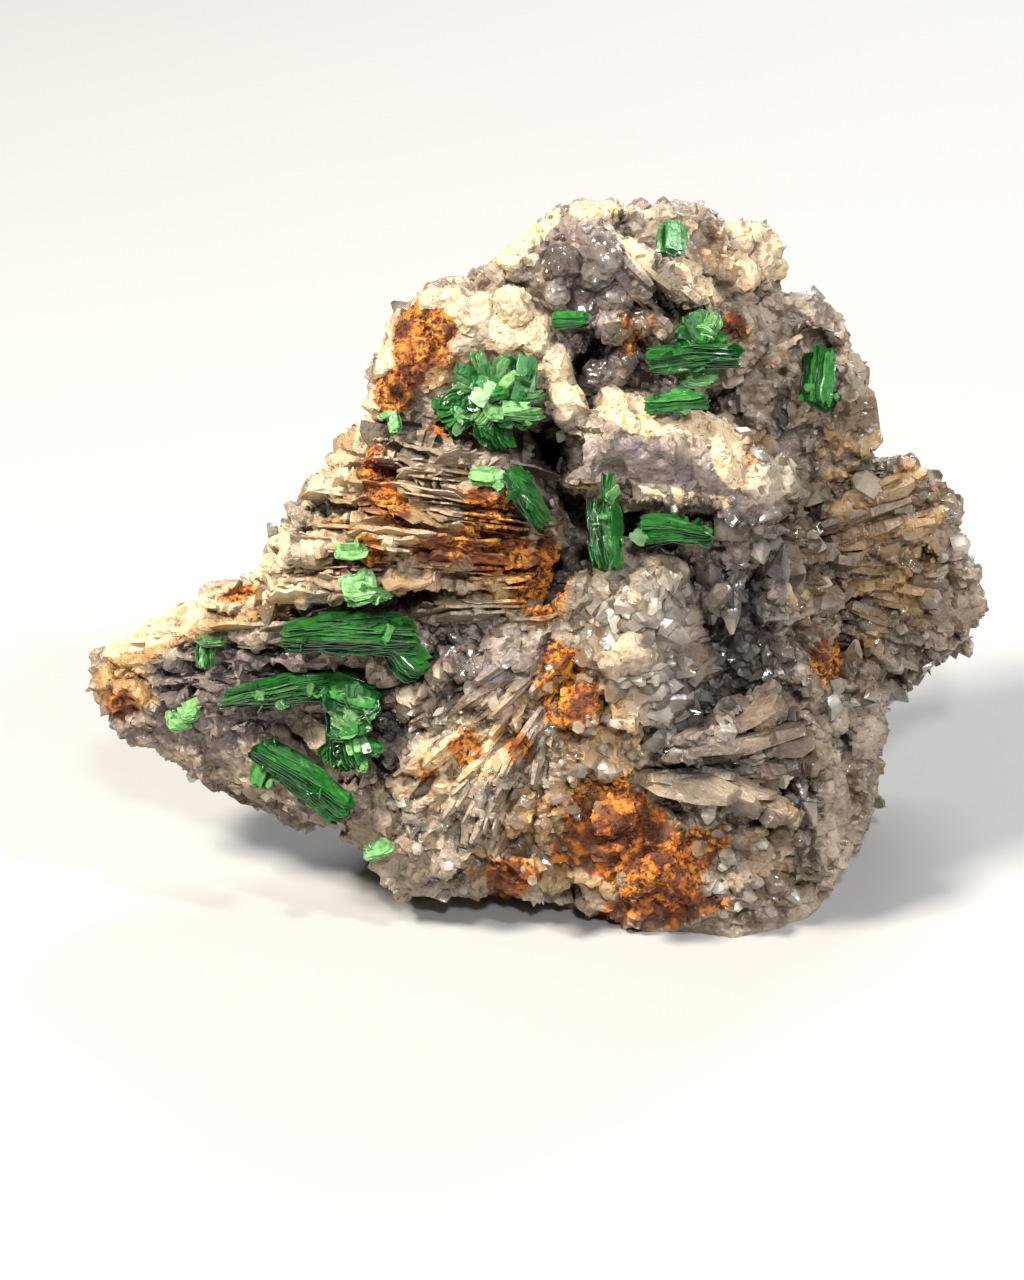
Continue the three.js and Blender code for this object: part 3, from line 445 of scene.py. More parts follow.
def rosette(at: Three, reach: Two, count: int, seed: int) -> list[Book]:
    """Gives the small books of a rosette, which stand out from its middle to all sides.

    Args:
        at: The rosette's middle, as seen.
        reach: How far it reaches to the side and up.
        count: How many books it has.
        seed: Sets it apart from others.

    Returns:
        The books.
    """
    random = np.random.default_rng(seed)
    books = []
    for i in range(count):
        turn, out = i * ROSETTE_TURN + random.uniform(-0.3, 0.3), math.sqrt((i + 0.4) / count)
        cos, sin = math.cos(turn), math.sin(turn)
        roll = random.uniform(-1.2, 1.2)
        normal = (-sin * math.sin(roll) - 0.4 * cos, cos * math.sin(roll) - 0.4 * sin + 0.2, math.cos(roll))
        place = (at[0] + reach[0] * out * cos, at[1] + reach[1] * out * sin, at[2] + 0.5 * (1.0 - out))
        size = (random.uniform(1.1, 2.0), random.uniform(0.8, 1.4), random.uniform(0.25, 0.6))
        pale = float(random.choice([0.0, 0.1, 0.3, 0.75]))
        books.append(Book(place, normal, (cos, sin, 0.5), size, random.uniform(0, 24), 3, 0.0, pale, 0.0))
    return books


BOOKS: dict[str, list[Book]] = {
    "upper_left_rosette": [
        *rosette((-1.0, 28.7, 1.5), (2.3, 1.8), 20, 41),
        # These two pale plates at the rosette's middle are a painted highlight: their pale green stands in for light
        # reflected off the plates
        Book((-1.5, 28.8, 2.2), (-0.1, 0.3, 0.95), (0.6, 0.8, 0), (1.5, 1.1, 0.3), 0, 3, 0.0, 1.0, 0.0),
        Book((0.2, 28.0, 2.1), (0.2, 0.55, 0.8), (1, 0.3, 0), (1.6, 0.9, 0.3), 6, 3, 0.0, 0.9, 0.0),
        Book((-2.4, 28.4, 1.0), (-0.4, 0.55, 0.74), (-1, -0.4, 0), (3.8, 2.8, 0.9), 22, 12, 0.04, 0.1, 2.0),
        Book((0.2, 29.3, 1.3), (0.55, 0.15, 0.8), (0.3, 1, 0), (3.0, 1.8, 0.9), 22, 9, 0.0, 0.05, 2.0),
        Book((0.6, 27.7, 1.6), (0.05, 0.85, 0.52), (1, 0.1, 0), (2.2, 1.6, 0.5), 6, 6, 0.0, 0.6),
        Book((-0.8, 26.9, 0.9), (0.8, 0.2, 0.55), (0, -1, 0), (2.4, 1.8, 0.8), 20, 12, 0.0, 0.1),
    ],
    "upper_right_book": [
        Book((9.5, 30.7, 1.0), (-0.08, 0.95, 0.28), (-1, -0.06, 0), (5.2, 3.0, 1.0), 4, 18, 0.03, 0.1),
        Book((9.7, 29.8, 0.6), (0.1, 0.3, 0.95), (0, -1, 0), (1.7, 2.2, 0.7), 8, 6, 0.0, 0.7),
        Book((9.8, 32.1, 0.4), (0.8, 0.1, 0.6), (0, 1, 0), (1.8, 1.5, 0.7), 40, 5, 0.0, 0.5),
        *rosette((9.9, 31.9, 0.8), (1.1, 0.7), 8, 43),
    ],
    "upper_right_blade": [
        Book((8.6, 28.3, 1.7), (-0.1, 0.9, 0.42), (-1, -0.13, 0), (3.5, 1.9, 0.6), 3, 9, 0.03, 0.3),
    ],
    "middle_sheaf": [
        Book((0.8, 23.3, 1.2), (0.72, 0.42, 0.5), (0.52, -0.85, 0), (3.9, 2.1, 0.9), 6, 16, 0.04, 0.2),
        Book((-1.3, 24.4, 1.5), (0, 0.6, 0.8), (1, -0.1, 0), (1.9, 1.2, 0.5), 0, 4, 0.0, 0.9),
    ],
    "hollow_upright_book": [
        Book((4.9, 21.4, 0.6), (0.86, 0.1, 0.5), (0.08, 1, 0), (4.1, 2.2, 1.3), 5, 20, 0.0, 0.2),
        Book((5.1, 23.8, 1.2), (0.8, 0.1, 0.6), (0.3, 1, 0), (1.7, 0.9, 0.5), 8, 5, 0.0, 0.3),
    ],
    "hollow_sheaf": [
        Book((8.5, 21.6, 0.8), (0.02, 0.92, 0.4), (-1, 0.08, 0), (4.3, 2.0, 0.6), 15, 14, 0.05, 0.2),
    ],
    "lower_left_book": [
        Book((-8.4, 16.2, 1.4), (0.04, 0.9, 0.43), (1, -0.04, 0), (7.0, 3.6, 1.7), 3, 26, 0.035, 0.12, 0.9),
        Book((-5.6, 15.1, 0.9), (0.5, 0.55, 0.67), (0.5, -0.8, 0), (3.0, 2.4, 1.0), 6, 14, 0.0, 0.2),
    ],
    "lower_left_rosette": [
        Book((-11.6, 13.3, 0.9), (-0.12, 0.9, 0.42), (1, 0.16, 0), (7.4, 2.4, 0.8), 8, 14, 0.02, 0.2),
        Book((-8.3, 12.9, 1.2), (0.3, 0.6, 0.74), (1, -0.3, 0), (3.0, 2.4, 0.7), 10, 8, 0.0, 0.2, 3.0),
        Book((-8.6, 10.8, 1.0), (0.82, 0.2, 0.54), (0.0, -1, 0), (4.0, 2.2, 1.0), 24, 12, 0.0, 0.05, 2.0),
        *rosette((-8.4, 11.2, 1.5), (1.2, 2.2), 14, 42),
    ],
    "lower_left_sheaf": [
        Book((-10.8, 8.7, 1.2), (0.52, 0.72, 0.46), (0.8, -0.6, 0), (6.0, 2.4, 1.2), 3, 22, 0.03, 0.1),
        Book((-12.9, 9.0, 1.1), (-0.62, 0.1, 0.78), (-0.4, -0.9, 0), (2.0, 1.5, 0.6), 14, 5, 0.0, 0.45, 4.0),
    ],
    "step_plate": [Book((-8.4, 20.5, 1.9), (0.15, 0.55, 0.82), (1, 0.1, 0), (1.8, 1.2, 0.4), 0, 4, 0.0, 0.9)],
    "step_rosette": [
        Book((-8.0, 18.6, 1.9), (0.1, 0.35, 0.93), (-1, -0.3, 0), (1.9, 1.8, 0.6), 4, 6, 0.0, 0.8),
        Book((-7.2, 18.4, 1.5), (0.2, 0.9, 0.4), (1, 0, 0), (2.0, 1.2, 0.6), 4, 5, 0.0, 0.5),
    ],
    "wing_stub": [
        Book((-16.0, 15.1, 0.9), (0.9, 0.1, 0.42), (0, 1, 0), (1.6, 1.2, 0.7), 0, 5, 0.0, 0.5),
        Book((-15.8, 15.8, 1.1), (0, 0.9, 0.44), (1, 0, 0), (1.7, 1.1, 0.4), 0, 4, 0.0, 0.6),
    ],
    "wing_pair": [
        Book((-17.4, 11.6, 0.9), (0.3, 0.45, 0.84), (1, 0.2, 0), (1.5, 1.4, 0.6), 2, 4, 0.0, 0.95),
        Book((-16.8, 12.2, 0.6), (0.1, 0.4, 0.9), (1, 0.6, 0), (1.4, 1.3, 0.6), 2, 4, 0.0, 0.9),
    ],
    "edge_plate": [Book((-6.2, 27.2, 0.8), (-0.5, 0.4, 0.77), (0.4, -0.9, 0), (1.3, 0.8, 0.4), 0, 3, 0.0, 0.7)],
    "lower_edge_plate": [Book((-7.0, 4.9, 0.5), (-0.2, 0.5, 0.84), (1, 0.3, 0), (1.7, 1.2, 0.5), 0, 4, 0.0, 0.8)],
    "nodule_plate": [Book((3.0, 32.6, 1.0), (0.05, 0.6, 0.8), (1, 0.1, 0), (2.2, 1.0, 0.5), 0, 4, 0.0, 0.1)],
    "crest_crystal": [Book((8.3, 36.8, -2.6), (0.4, 0.3, 0.87), (0.2, 1, 0), (2.0, 1.6, 0.9), 5, 6, 0.0, 0.3)],
    "far_book": [Book((16.2, 29.6, -7.4), (0.6, 0.2, 0.78), (0.3, 1, 0), (3.6, 2.0, 1.1), 4, 9, 0.0, 0.0)],
}


ALL_BOOKS = [book for books in BOOKS.values() for book in books]

BOX_SLACK = 0.15
BOX_LOW = np.array(CAD_BOX[0]) / MM - (BOX_SLACK, BOX_SLACK, 0.0)
BOX_HIGH = np.array(CAD_BOX[1]) / MM + BOX_SLACK


def kept_in_box(points: Array) -> Array:
    """Keeps points inside the solid model's box, give or take a little, and above what it stands on."""
    return np.clip(points, BOX_LOW, BOX_HIGH)


def fits_in_box(points: Array) -> Array:
    """Tells which copies of a shape, given as copies by points by 3, lie inside that box."""
    return ((points >= BOX_LOW) & (points <= BOX_HIGH)).all(axis=(1, 2))


class Assembly:
    """Gathers many small shapes into one mesh."""

    def __init__(self) -> None:
        """Starts with nothing in it."""
        self.points: list[Array] = []
        self.faces: list[Array] = []
        self.loops: list[Array] = []
        self.values: dict[str, list[Array]] = {}
        self.count = 0

    def add(self, points: Array, shape: "Template", **values: Array) -> None:
        """Adds copies of a template whose points have been put in their places.

        Args:
            points: Copies by points by 3, in millimetres.
            shape: The template that they are copies of.
            values: For each copy, a number for an attribute.
        """
        fits = fits_in_box(points)
        points = points[fits]
        copies, each = points.shape[:2]
        base = self.count + each * np.arange(copies)
        self.points.append(points.reshape(-1, 3))
        self.faces.append(np.tile(shape.sizes, copies))
        self.loops.append((shape.loops[None, :] + base[:, None]).ravel())
        for name, value in values.items():
            self.values.setdefault(name, []).append(np.repeat(value[fits], each))
        self.count += copies * each

    def build(self, name: str) -> Piece:
        """Makes the mesh object.

        Args:
            name: The piece's name.

        Returns:
            The new object, with its place in its mesh.
        """
        points = np.concatenate(self.points) * MM
        sizes = np.concatenate(self.faces)
        loops = np.concatenate(self.loops)
        mesh = bpy.data.meshes.new(name)
        mesh.vertices.add(len(points))
        mesh.vertices.foreach_set("co", points.astype(np.float32).ravel())
        mesh.loops.add(len(loops))
        mesh.loops.foreach_set("vertex_index", loops.astype(np.int32))
        mesh.polygons.add(len(sizes))
        starts = np.concatenate([[0], np.cumsum(sizes)[:-1]])
        mesh.polygons.foreach_set("loop_start", starts.astype(np.int32))
        mesh.update(calc_edges=True)
        mesh.validate()
        for key, parts in self.values.items():
            layer = mesh.attributes.new(key, "FLOAT", "POINT")
            layer.data.foreach_set("value", np.concatenate(parts).astype(np.float32))
        piece = linked(name, mesh)
        bpy.ops.object.shade_flat()
        return piece


def only(piece: Piece) -> None:
    """Selects one object and nothing else.

    Args:
        piece: The object.
    """
    bpy.ops.object.select_all(action="DESELECT")
    piece.select_set(True)
    bpy.context.view_layer.objects.active = piece


def linked(name: str, mesh: bpy.types.Mesh) -> Piece:
    """Makes an object of a mesh, puts it in the scene and selects it alone.

    Args:
        name: The object's name.
        mesh: Its mesh.

    Returns:
        The object.
    """
    piece = bpy.data.objects.new(name, mesh)
    bpy.context.scene.collection.objects.link(piece)
    only(piece)
    return piece


def apply_modifier(piece: Piece, kind: str, **settings: object) -> None:
    """Adds a modifier with its settings and applies it.

    Args:
        piece: The object that it works on.
        kind: The modifier's type.
        settings: Its properties by name.
    """
    only(piece)
    modifier = piece.modifiers.new(kind.lower(), kind)
    for key, value in settings.items():
        setattr(modifier, key, value)
    bpy.ops.object.modifier_apply(modifier=modifier.name)


def rows_of(parts: bpy.types.bpy_prop_collection, key: str, wide: int, kind: type = np.int32) -> Array:
    """Reads a property of a mesh's points, edges or triangles.

    Args:
        parts: The points, edges or triangles.
        key: The property.
        wide: How many numbers each has.
        kind: What the numbers are kept as.

    Returns:
        One row for each.
    """
    flat = np.empty(len(parts) * wide, kind)
    parts.foreach_get(key, flat)
    return flat.reshape(-1, wide)


def points_of(piece: Piece) -> Array:
    """Reads an object's points, in millimetres."""
    return rows_of(piece.data.vertices, "co", 3, np.float32).astype(float) / MM


def normals_of(piece: Piece) -> Array:
    """Reads the directions that an object's points face."""
    return rows_of(piece.data.vertices, "normal", 3, np.float32).astype(float)


def triangles_of(piece: Piece) -> int:
    """Counts an object's triangles."""
    return sum(len(p.vertices) - 2 for p in piece.data.polygons)


def set_points(piece: Piece, points: Array) -> None:
    """Moves an object's points to new places, in millimetres."""
    piece.data.vertices.foreach_set("co", (points * MM).astype(np.float32).ravel())
    piece.data.update()


def set_value(piece: Piece, name: str, values: Array) -> None:
    """Writes one number for each point as an attribute that a material reads."""
    layer = piece.data.attributes.new(name, "FLOAT", "POINT")
    layer.data.foreach_set("value", values.astype(np.float32))


@dataclass
class Template:
    """A small shape that is modelled once and then copied many times."""

    points: Array
    sizes: Array
    loops: Array

    @classmethod
    def taken_from(cls, piece: Piece) -> "Template":
        """Reads a modelled object and removes it.

        Args:
            piece: The object, modelled in millimetres as if they were metres.

        Returns:
            Its shape.
        """
        mesh = piece.data
        points = np.array([v.co[:] for v in mesh.vertices])
        sizes = np.array([len(p.vertices) for p in mesh.polygons])
        loops = np.array([i for p in mesh.polygons for i in p.vertices])
        bpy.data.objects.remove(piece)
        bpy.data.meshes.remove(mesh)
        return cls(points, sizes, loops)


def select_faces(piece: Piece, chosen: object) -> None:
    """Selects the faces of an object in edit mode that a test picks by their middle and normal.

    Args:
        piece: The object, which is in edit mode.
        chosen: A function of a face's middle and normal.
    """
    bpy.ops.mesh.select_all(action="DESELECT")
    bpy.ops.object.mode_set(mode="OBJECT")
    for face in piece.data.polygons:
        face.select = bool(chosen(face.center, face.normal))
    bpy.ops.object.mode_set(mode="EDIT")


class Shapes:
    """The small shapes that repeat: quartz crystals, blades, grains and torbernite plates."""

    def __init__(self) -> None:
        """Models each shape."""
        self.random = np.random.default_rng(11)
        self.crystals = [self.crystal(tip, waist) for tip, waist in ((0.7, 1.0), (1.1, 0.94), (1.5, 0.9))]
        self.grains = [self.shard(5) for _ in range(5)]
        self.shards = [self.shard(8) for _ in range(6)]
        self.jagged = [self.blade(9, 0.34) for _ in range(6)]
        self.plain = [self.blade(3, 0.12) for _ in range(4)]
        self.plates = [self.plate(cut) for cut in (0.05, 0.1, 0.16, 0.22, 0.12)]

    def crystal(self, tip: float, waist: float) -> Template:
        """Models a six-sided quartz crystal of radius 1 on a root, with its point's faces uneven.

        Args:
            tip: The point's height.
            waist: The radius under the point beside that of the root.

        Returns:
            The shape, its prism's shoulder at height 1.
        """
        bpy.ops.object.select_all(action="DESELECT")
        bpy.ops.mesh.primitive_cone_add(vertices=6, radius1=1.0, radius2=waist, depth=2.0)
        piece = bpy.context.active_object
        bpy.ops.object.mode_set(mode="EDIT")
        select_faces(piece, lambda middle, normal: normal.z > 0.9)
        bpy.ops.mesh.extrude_region_move(TRANSFORM_OT_translate={"value": (0.0, 0.0, tip)})
        bpy.ops.transform.resize(value=(0.12, 0.3, 1.0), center_override=(0.1, 0.05, 0.0))
        bpy.ops.object.mode_set(mode="OBJECT")
        return Template.taken_from(piece)

    def shard(self, cuts: int) -> Template:
        """Models an angular piece of quartz: a block with corners broken off by flat cuts.

        Args:
            cuts: How many cuts are made.

        Returns:
            The shape, about 1 in radius.
        """
        bpy.ops.object.select_all(action="DESELECT")
        bpy.ops.mesh.primitive_cube_add(size=1.7)
        piece = bpy.context.active_object
        bpy.ops.object.mode_set(mode="EDIT")
        for _ in range(cuts):
            way = Vector(self.random.normal(0, 1, 3)).normalized()
            off = way * self.random.uniform(0.5, 0.85)
            bpy.ops.mesh.select_all(action="SELECT")
            bpy.ops.mesh.bisect(plane_co=off, plane_no=way, use_fill=True, clear_outer=True)
        bpy.ops.object.mode_set(mode="OBJECT")
        return Template.taken_from(piece)

    def blade(self, steps: int, jag: float) -> Template:
        """Models a thin quartz blade, 1 long along x and 1 deep along y, its free edge broken in steps.

        Args:
            steps: How many steps its free edge has.
            jag: How far the steps fall back.

        Returns:
            The shape, 1 thick, thinner towards its free edge and its ends.
        """
        bpy.ops.object.select_all(action="DESELECT")
        bpy.ops.mesh.primitive_cube_add(size=1.0)
        piece = bpy.context.active_object
        apply_modifier(piece, "BEVEL", width=0.02, segments=1, limit_method="NONE")
        bpy.ops.object.mode_set(mode="EDIT")
        for i in range(1, steps):
            bpy.ops.mesh.select_all(action="SELECT")
            place = -0.5 + (i + self.random.uniform(-0.3, 0.3)) / steps
            bpy.ops.mesh.bisect(plane_co=(place, 0, 0), plane_no=(1, 0, 0))
        bpy.ops.object.mode_set(mode="OBJECT")
        fall: dict[int, float] = {}
        for vertex in piece.data.vertices:
            key = round(vertex.co.x * 40)
            end = max(0.0, abs(vertex.co.x) - 0.36) / 0.14
            if vertex.co.y > 0:
                vertex.co.y += fall.setdefault(key, self.random.uniform(-jag, 0.06)) - end * 0.35
            vertex.co.z *= (1.0 - 0.35 * (vertex.co.y > 0)) * (1.0 - 0.5 * end)
        return Template.taken_from(piece)

    def plate(self, cut: float) -> Template:
        """Models a square torbernite plate with chipped corners, 1 by 1, its rim nicked and its edges bevelled.

        Args:
            cut: How much is cut off each corner.

        Returns:
            The shape, 1 thick.
        """
        bpy.ops.object.select_all(action="DESELECT")
        bpy.ops.mesh.primitive_cylinder_add(vertices=16, radius=0.5, depth=1.0)
        piece = bpy.context.active_object
        wobble = self.random.uniform(0.8, 1.05, 16)
        for vertex in piece.data.vertices:
            turn = math.atan2(vertex.co.y, vertex.co.x)
            square = max(abs(math.cos(turn)), abs(math.sin(turn)))
            corner = (abs(math.cos(turn)) + abs(math.sin(turn))) / (2.0 - 2.0 * cut)
            reach = 0.5 / max(square, corner)
            reach *= wobble[int(round(turn / (math.pi / 8))) % 16]
            vertex.co.x = reach * math.cos(turn)
            vertex.co.y = reach * math.sin(turn)
        apply_modifier(piece, "BEVEL", width=0.016, segments=1, limit_method="ANGLE", angle_limit=math.radians(60))
        return Template.taken_from(piece)


def bases(axes: Array, turns: Array) -> Array:
    """Gives each axis a pair of directions across it.

    Args:
        axes: Unit directions that will be each copy's z.
        turns: How far each copy is turned on its axis, in radians.

    Returns:
        A 3 by 3 matrix for each, its columns the copy's x, y and z.
    """
    helper = np.where(np.abs(axes[:, 2:3]) < 0.9, [[0.0, 0.0, 1.0]], [[1.0, 0.0, 0.0]])
    across = np.cross(helper, axes)
    across /= np.linalg.norm(across, axis=1)[:, None]
    other = np.cross(axes, across)
    cos, sin = np.cos(turns)[:, None], np.sin(turns)[:, None]
    return np.stack([across * cos + other * sin, other * cos - across * sin, axes], axis=2)


def placed(shape: Template, frames: Array, sizes: Array, places: Array) -> Array:
    """Puts copies of a template in their places.

    Args:
        shape: The template.
        frames: Each copy's axes, as the columns of a matrix.
        sizes: Each copy's size along its three axes.
        places: Each copy's place.

    Returns:
        Copies by points by 3.
    """
    local = shape.points[None, :, :] * sizes[:, None, :]
    return np.einsum("nij,npj->npi", frames, local) + places[:, None, :]


def stamp(assembly: Assembly, forms: list[Template], kind: Array, copies: tuple[Array, ...], **values: Array) -> None:
    """Adds copies of several templates.

    Args:
        assembly: What they are added to.
        forms: The templates.
        kind: Which of them each copy is of.
        copies: Each copy's axes, size and place, as in placed.
        values: For each copy, a number for an attribute.
    """
    for index, shape in enumerate(forms):
        own = kind == index
        points = placed(shape, *(part[own] for part in copies))
        assembly.add(points, shape, **{name: value[own] for name, value in values.items()})


@dataclass(frozen=True)
class Bedding:
    """Crystal blocks of one size over part of the rock, each a little prouder and more tilted than the next."""

    regions: list[Patch]
    size: float
    rise: float
    slope: float
    seed: int
    hub: Two | None = None
    reach: float = 1.0
    spread: float = 1.0

    def blocks(self, points: Array, seen: Seen) -> tuple[Array, Array]:
        """Gives how far each point is moved out, and its block's own tone.

        Args:
            points: Points in the specimen's axes, in millimetres.
            seen: Where they are seen.

        Returns:
            Millimetres outwards, and tones from 0 to 1.
        """
        stray = np.stack([noise(points, self.size * 1.6, self.seed + 7 + k) for k in range(3)], axis=1)
        if self.hub is None:
            place = points / self.size + 0.3 * stray
        else:
            across, along = seen.x - self.hub[0], seen.h - self.hub[1]
            bearing = np.degrees(np.arctan2(along, across)) % 360.0
            out = np.hypot(across, along)
            place = np.stack([out / self.reach, bearing / self.spread, points[:, 1] / 5.0], axis=1)
            place = place + 0.35 * stray * (1.0, 0.5, 1.0)
        way, own, _ = cells(place, 1.0, self.seed)
        tilt = unit(own - 0.5)
        push = self.rise * (own[:, 0] - 0.5) + self.slope * np.sum(way * tilt, axis=1)
        mask = seen.mask(self.regions, 0.25, 0.3) if self.regions else np.ones(len(points))
        return push * mask, np.where(mask > 0.4, own[:, 1], -1.0)


@dataclass
class RockFace:
    """The rock's body: the solid rock, with its ledges, blocks, crystal faces and grain."""

    voxel: float = 0.18
    limit: int = 192_000
    merged: float = 0.001
    crease: float = 24.0
    passes: int = 20
    step_passes: int = 2
    foot: float = 0.3
    rising: float = 0.8
    deepest: float = -1.3
    proudest: float = 0.9
    fine: float = 0.9
    least_kept: float = 0.12
    piece: Piece = field(init=False)

    ROUND = [
        Patch(8.0, 25.6, 6.4, 3.0),
        Patch(5.2, 31.4, 2.8, 3.6),
        Patch(-1.0, 31.8, 5.0, 2.6, 0.7),
        Patch(3.6, 36.2, 3.0, 2.4, 0.7),
        Patch(-14.6, 10.0, 5.4, 1.8, 0.7, -26),
        Patch(13.0, 36.0, 2.4, 2.4, 0.8),
        Patch(13.0, 24.6, 2.0, 3.0, 0.7),
    ]
    LEDGES = [Patch(-6.4, 21.6, 8.6, 6.2), Patch(-9.0, 25.6, 3.6, 4.0)]
    WING = [Patch(-15.0, 13.4, 9.0, 4.6)]
    LEDGE_HUB = (38.0, 18.0)
    STRIAE = [Patch(-2.6, 9.0, 7.4, 6.4)]
    SPRAY = [Patch(11.6, 8.4, 6.0, 3.6)]
    FAR = [Patch(19.6, 20.0, 6.0, 9.0)]
    CREST = [Patch(8.2, 36.0, 5.6, 3.6)]
    BEDDINGS = [
        Bedding([], 4.6, 0.7, 0.34, 21),
        Bedding([], 1.9, 0.5, 0.5, 31),
        Bedding([], 0.85, 0.2, 0.3, 41),
        Bedding(LEDGES, 1.0, 1.2, 0.3, 51, LEDGE_HUB, 6.0, 1.5),
        Bedding(LEDGES, 1.0, 0.7, 0.2, 56, LEDGE_HUB, 3.4, 0.66),
        Bedding(WING, 1.0, 0.6, 0.2, 61, LEDGE_HUB, 8.0, 1.6),
        Bedding(WING, 1.0, 0.34, 0.14, 66, LEDGE_HUB, 4.0, 0.6),
        Bedding(STRIAE, 1.0, 0.7, 0.4, 71, (4.4, 17.4), 6.0, 8.0),
        Bedding(STRIAE, 1.0, 0.3, 0.2, 76, (4.4, 17.4), 4.0, 3.6),
        Bedding(SPRAY, 1.0, 1.1, 0.5, 81, (5.0, 9.0), 9.0, 8.0),
        Bedding(SPRAY, 1.0, 0.4, 0.2, 86, (5.0, 9.0), 6.0, 3.6),
        Bedding(FAR, 1.0, 1.1, 0.5, 91, (10.0, 19.6), 7.0, 7.0),
        Bedding(CREST, 1.0, 0.7, 0.3, 96, (1.6, 40.0), 5.0, 7.0),
    ]

    def build(self) -> None:
        """Makes the mesh from a copy of the solid rock."""
        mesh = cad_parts["quartz_matrix"].data.copy()
        mesh.name = "rock_face"
        self.piece = linked("rock_face", mesh)
        bpy.ops.object.mode_set(mode="EDIT")
        bpy.ops.mesh.select_all(action="SELECT")
        bpy.ops.mesh.remove_doubles(threshold=self.merged * MM)
        bpy.ops.object.mode_set(mode="OBJECT")
        mesh.materials.clear()
        for name in [a.name for a in mesh.attributes if not a.is_required and not a.is_internal]:
            mesh.attributes.remove(mesh.attributes[name])
        apply_modifier(self.piece, "REMESH", mode="VOXEL", voxel_size=self.voxel * MM, use_smooth_shade=False)
        LOG.info("rock remeshed to %d faces", len(self.piece.data.polygons))
        self.soften()
        self.roughen()
        self.thin()
        only(self.piece)
        bpy.ops.object.shade_smooth_by_angle(angle=math.radians(self.crease))
        stain(self.piece)

    def soften(self) -> None:
        """Rounds the brow, the nodules and the cream lumps, and takes the steps of the remesh off the rest."""
        mesh = self.piece.data
        points = points_of(self.piece)
        a, b = rows_of(mesh.edges, "vertices", 2).T
        count = np.bincount(a, minlength=len(points)) + np.bincount(b, minlength=len(points))
        rounded = Seen(points).mask(self.ROUND, 0.2, 0.5)
        for turn in range(self.passes):
            mean = np.zeros_like(points)
            for axis in range(3):
                mean[:, axis] = np.bincount(a, points[b, axis], len(points))
                mean[:, axis] += np.bincount(b, points[a, axis], len(points))
            mean /= count[:, None]
            share = (0.45 if turn < self.step_passes else 0.0) + 0.55 * rounded
            share[points[:, 2] < self.foot] = 0.0
            points += (mean - points) * np.clip(share, 0.0, 0.8)[:, None]
        set_points(self.piece, points)

    def roughen(self) -> None:
        """Breaks the surface into blocks, ledges and crystal faces, and gives it grain."""
        points = points_of(self.piece)
        normals = normals_of(self.piece)
        seen = Seen(points)
        rounded = seen.mask(self.ROUND, 0.2, 0.5)
        rust = seen.mask(STAINS[Stain.RUST] + STAINS[Stain.UMBER])
        cream = seen.mask(STAINS[Stain.CREAM])
        front = 1.0 - smooth(0.1, -0.4, normals @ EYE.towards)
        out = np.zeros(len(points))
        tone = np.full(len(points), 0.5)
        calm = (1.0 - 0.8 * rounded) * (1.0 - 0.4 * rust) * (1.0 - 0.35 * cream)
        for bedding in self.BEDDINGS:
            push, own = bedding.blocks(points, seen)
            fine = bedding.size < self.fine
            out += push * calm * (0.25 + 0.75 * front if fine else 1.0)
            if not fine:
                tone = np.where(own >= 0.0, own, tone)
        fluted = points * (1.0, 0.6, 0.35)
        out += rounded * (0.62 * layered(fluted, 1.2, 3, 101) + 0.16 * noise(points, 0.5, 104))
        way, own, _ = cells(fluted, 0.9, 105)
        out += 0.7 * rounded * (0.4 * (own[:, 0] - 0.5) + 0.3 * np.sum(way * unit(own - 0.5), axis=1))
        pores = np.minimum(0.0, layered(points, 0.9, 3, 111) + 0.05)
        way, own, _ = cells(points, 0.62, 112)
        out += rust * (0.9 * pores + 0.5 * (own[:, 0] - 0.5) + 0.14 * noise(points, 0.4, 114))
        out += cream * (0.14 * noise(points, 0.5, 115) + 0.12 * layered(points, 1.2, 2, 116))
        out += 0.05 * front * noise(points, 0.42, 117)
        hold = smooth(0.0, self.rising, points[:, 2])
        points += normals * (np.clip(out, self.deepest, self.proudest) * hold)[:, None]
        set_points(self.piece, kept_in_box(points))
        set_value(self.piece, "tone", tone)

    def thin(self) -> None:
        """Takes triangles off until the mesh is under its limit, most of them where the rock isn't seen."""
        normals = normals_of(self.piece)
        back = smooth(0.1, -0.5, normals @ EYE.towards)
        group = self.piece.vertex_groups.new(name="unseen")
        least, levels = self.least_kept, 4
        for level in range(levels + 1):
            chosen = np.nonzero((back * levels).round() == level)[0]
            if len(chosen):
                group.add(chosen.tolist(), least + (1.0 - least) * level / levels, "REPLACE")
        triangles = triangles_of(self.piece)
        if triangles > self.limit:
            share = self.limit / triangles
            apply_modifier(self.piece, "DECIMATE", ratio=share, vertex_group="unseen", vertex_group_factor=1.0)
        self.piece.vertex_groups.clear()
        LOG.info("rock thinned from %d triangles to %d faces", triangles, len(self.piece.data.polygons))


def stain(piece: Piece) -> None:
    """Writes how much of each stain, and of the painted shade, lies at each point of a piece.

    Args:
        piece: The piece.
    """
    seen = Seen(points_of(piece))
    for kind, rows in STAINS.items():
        set_value(piece, kind.value, seen.mask(rows))


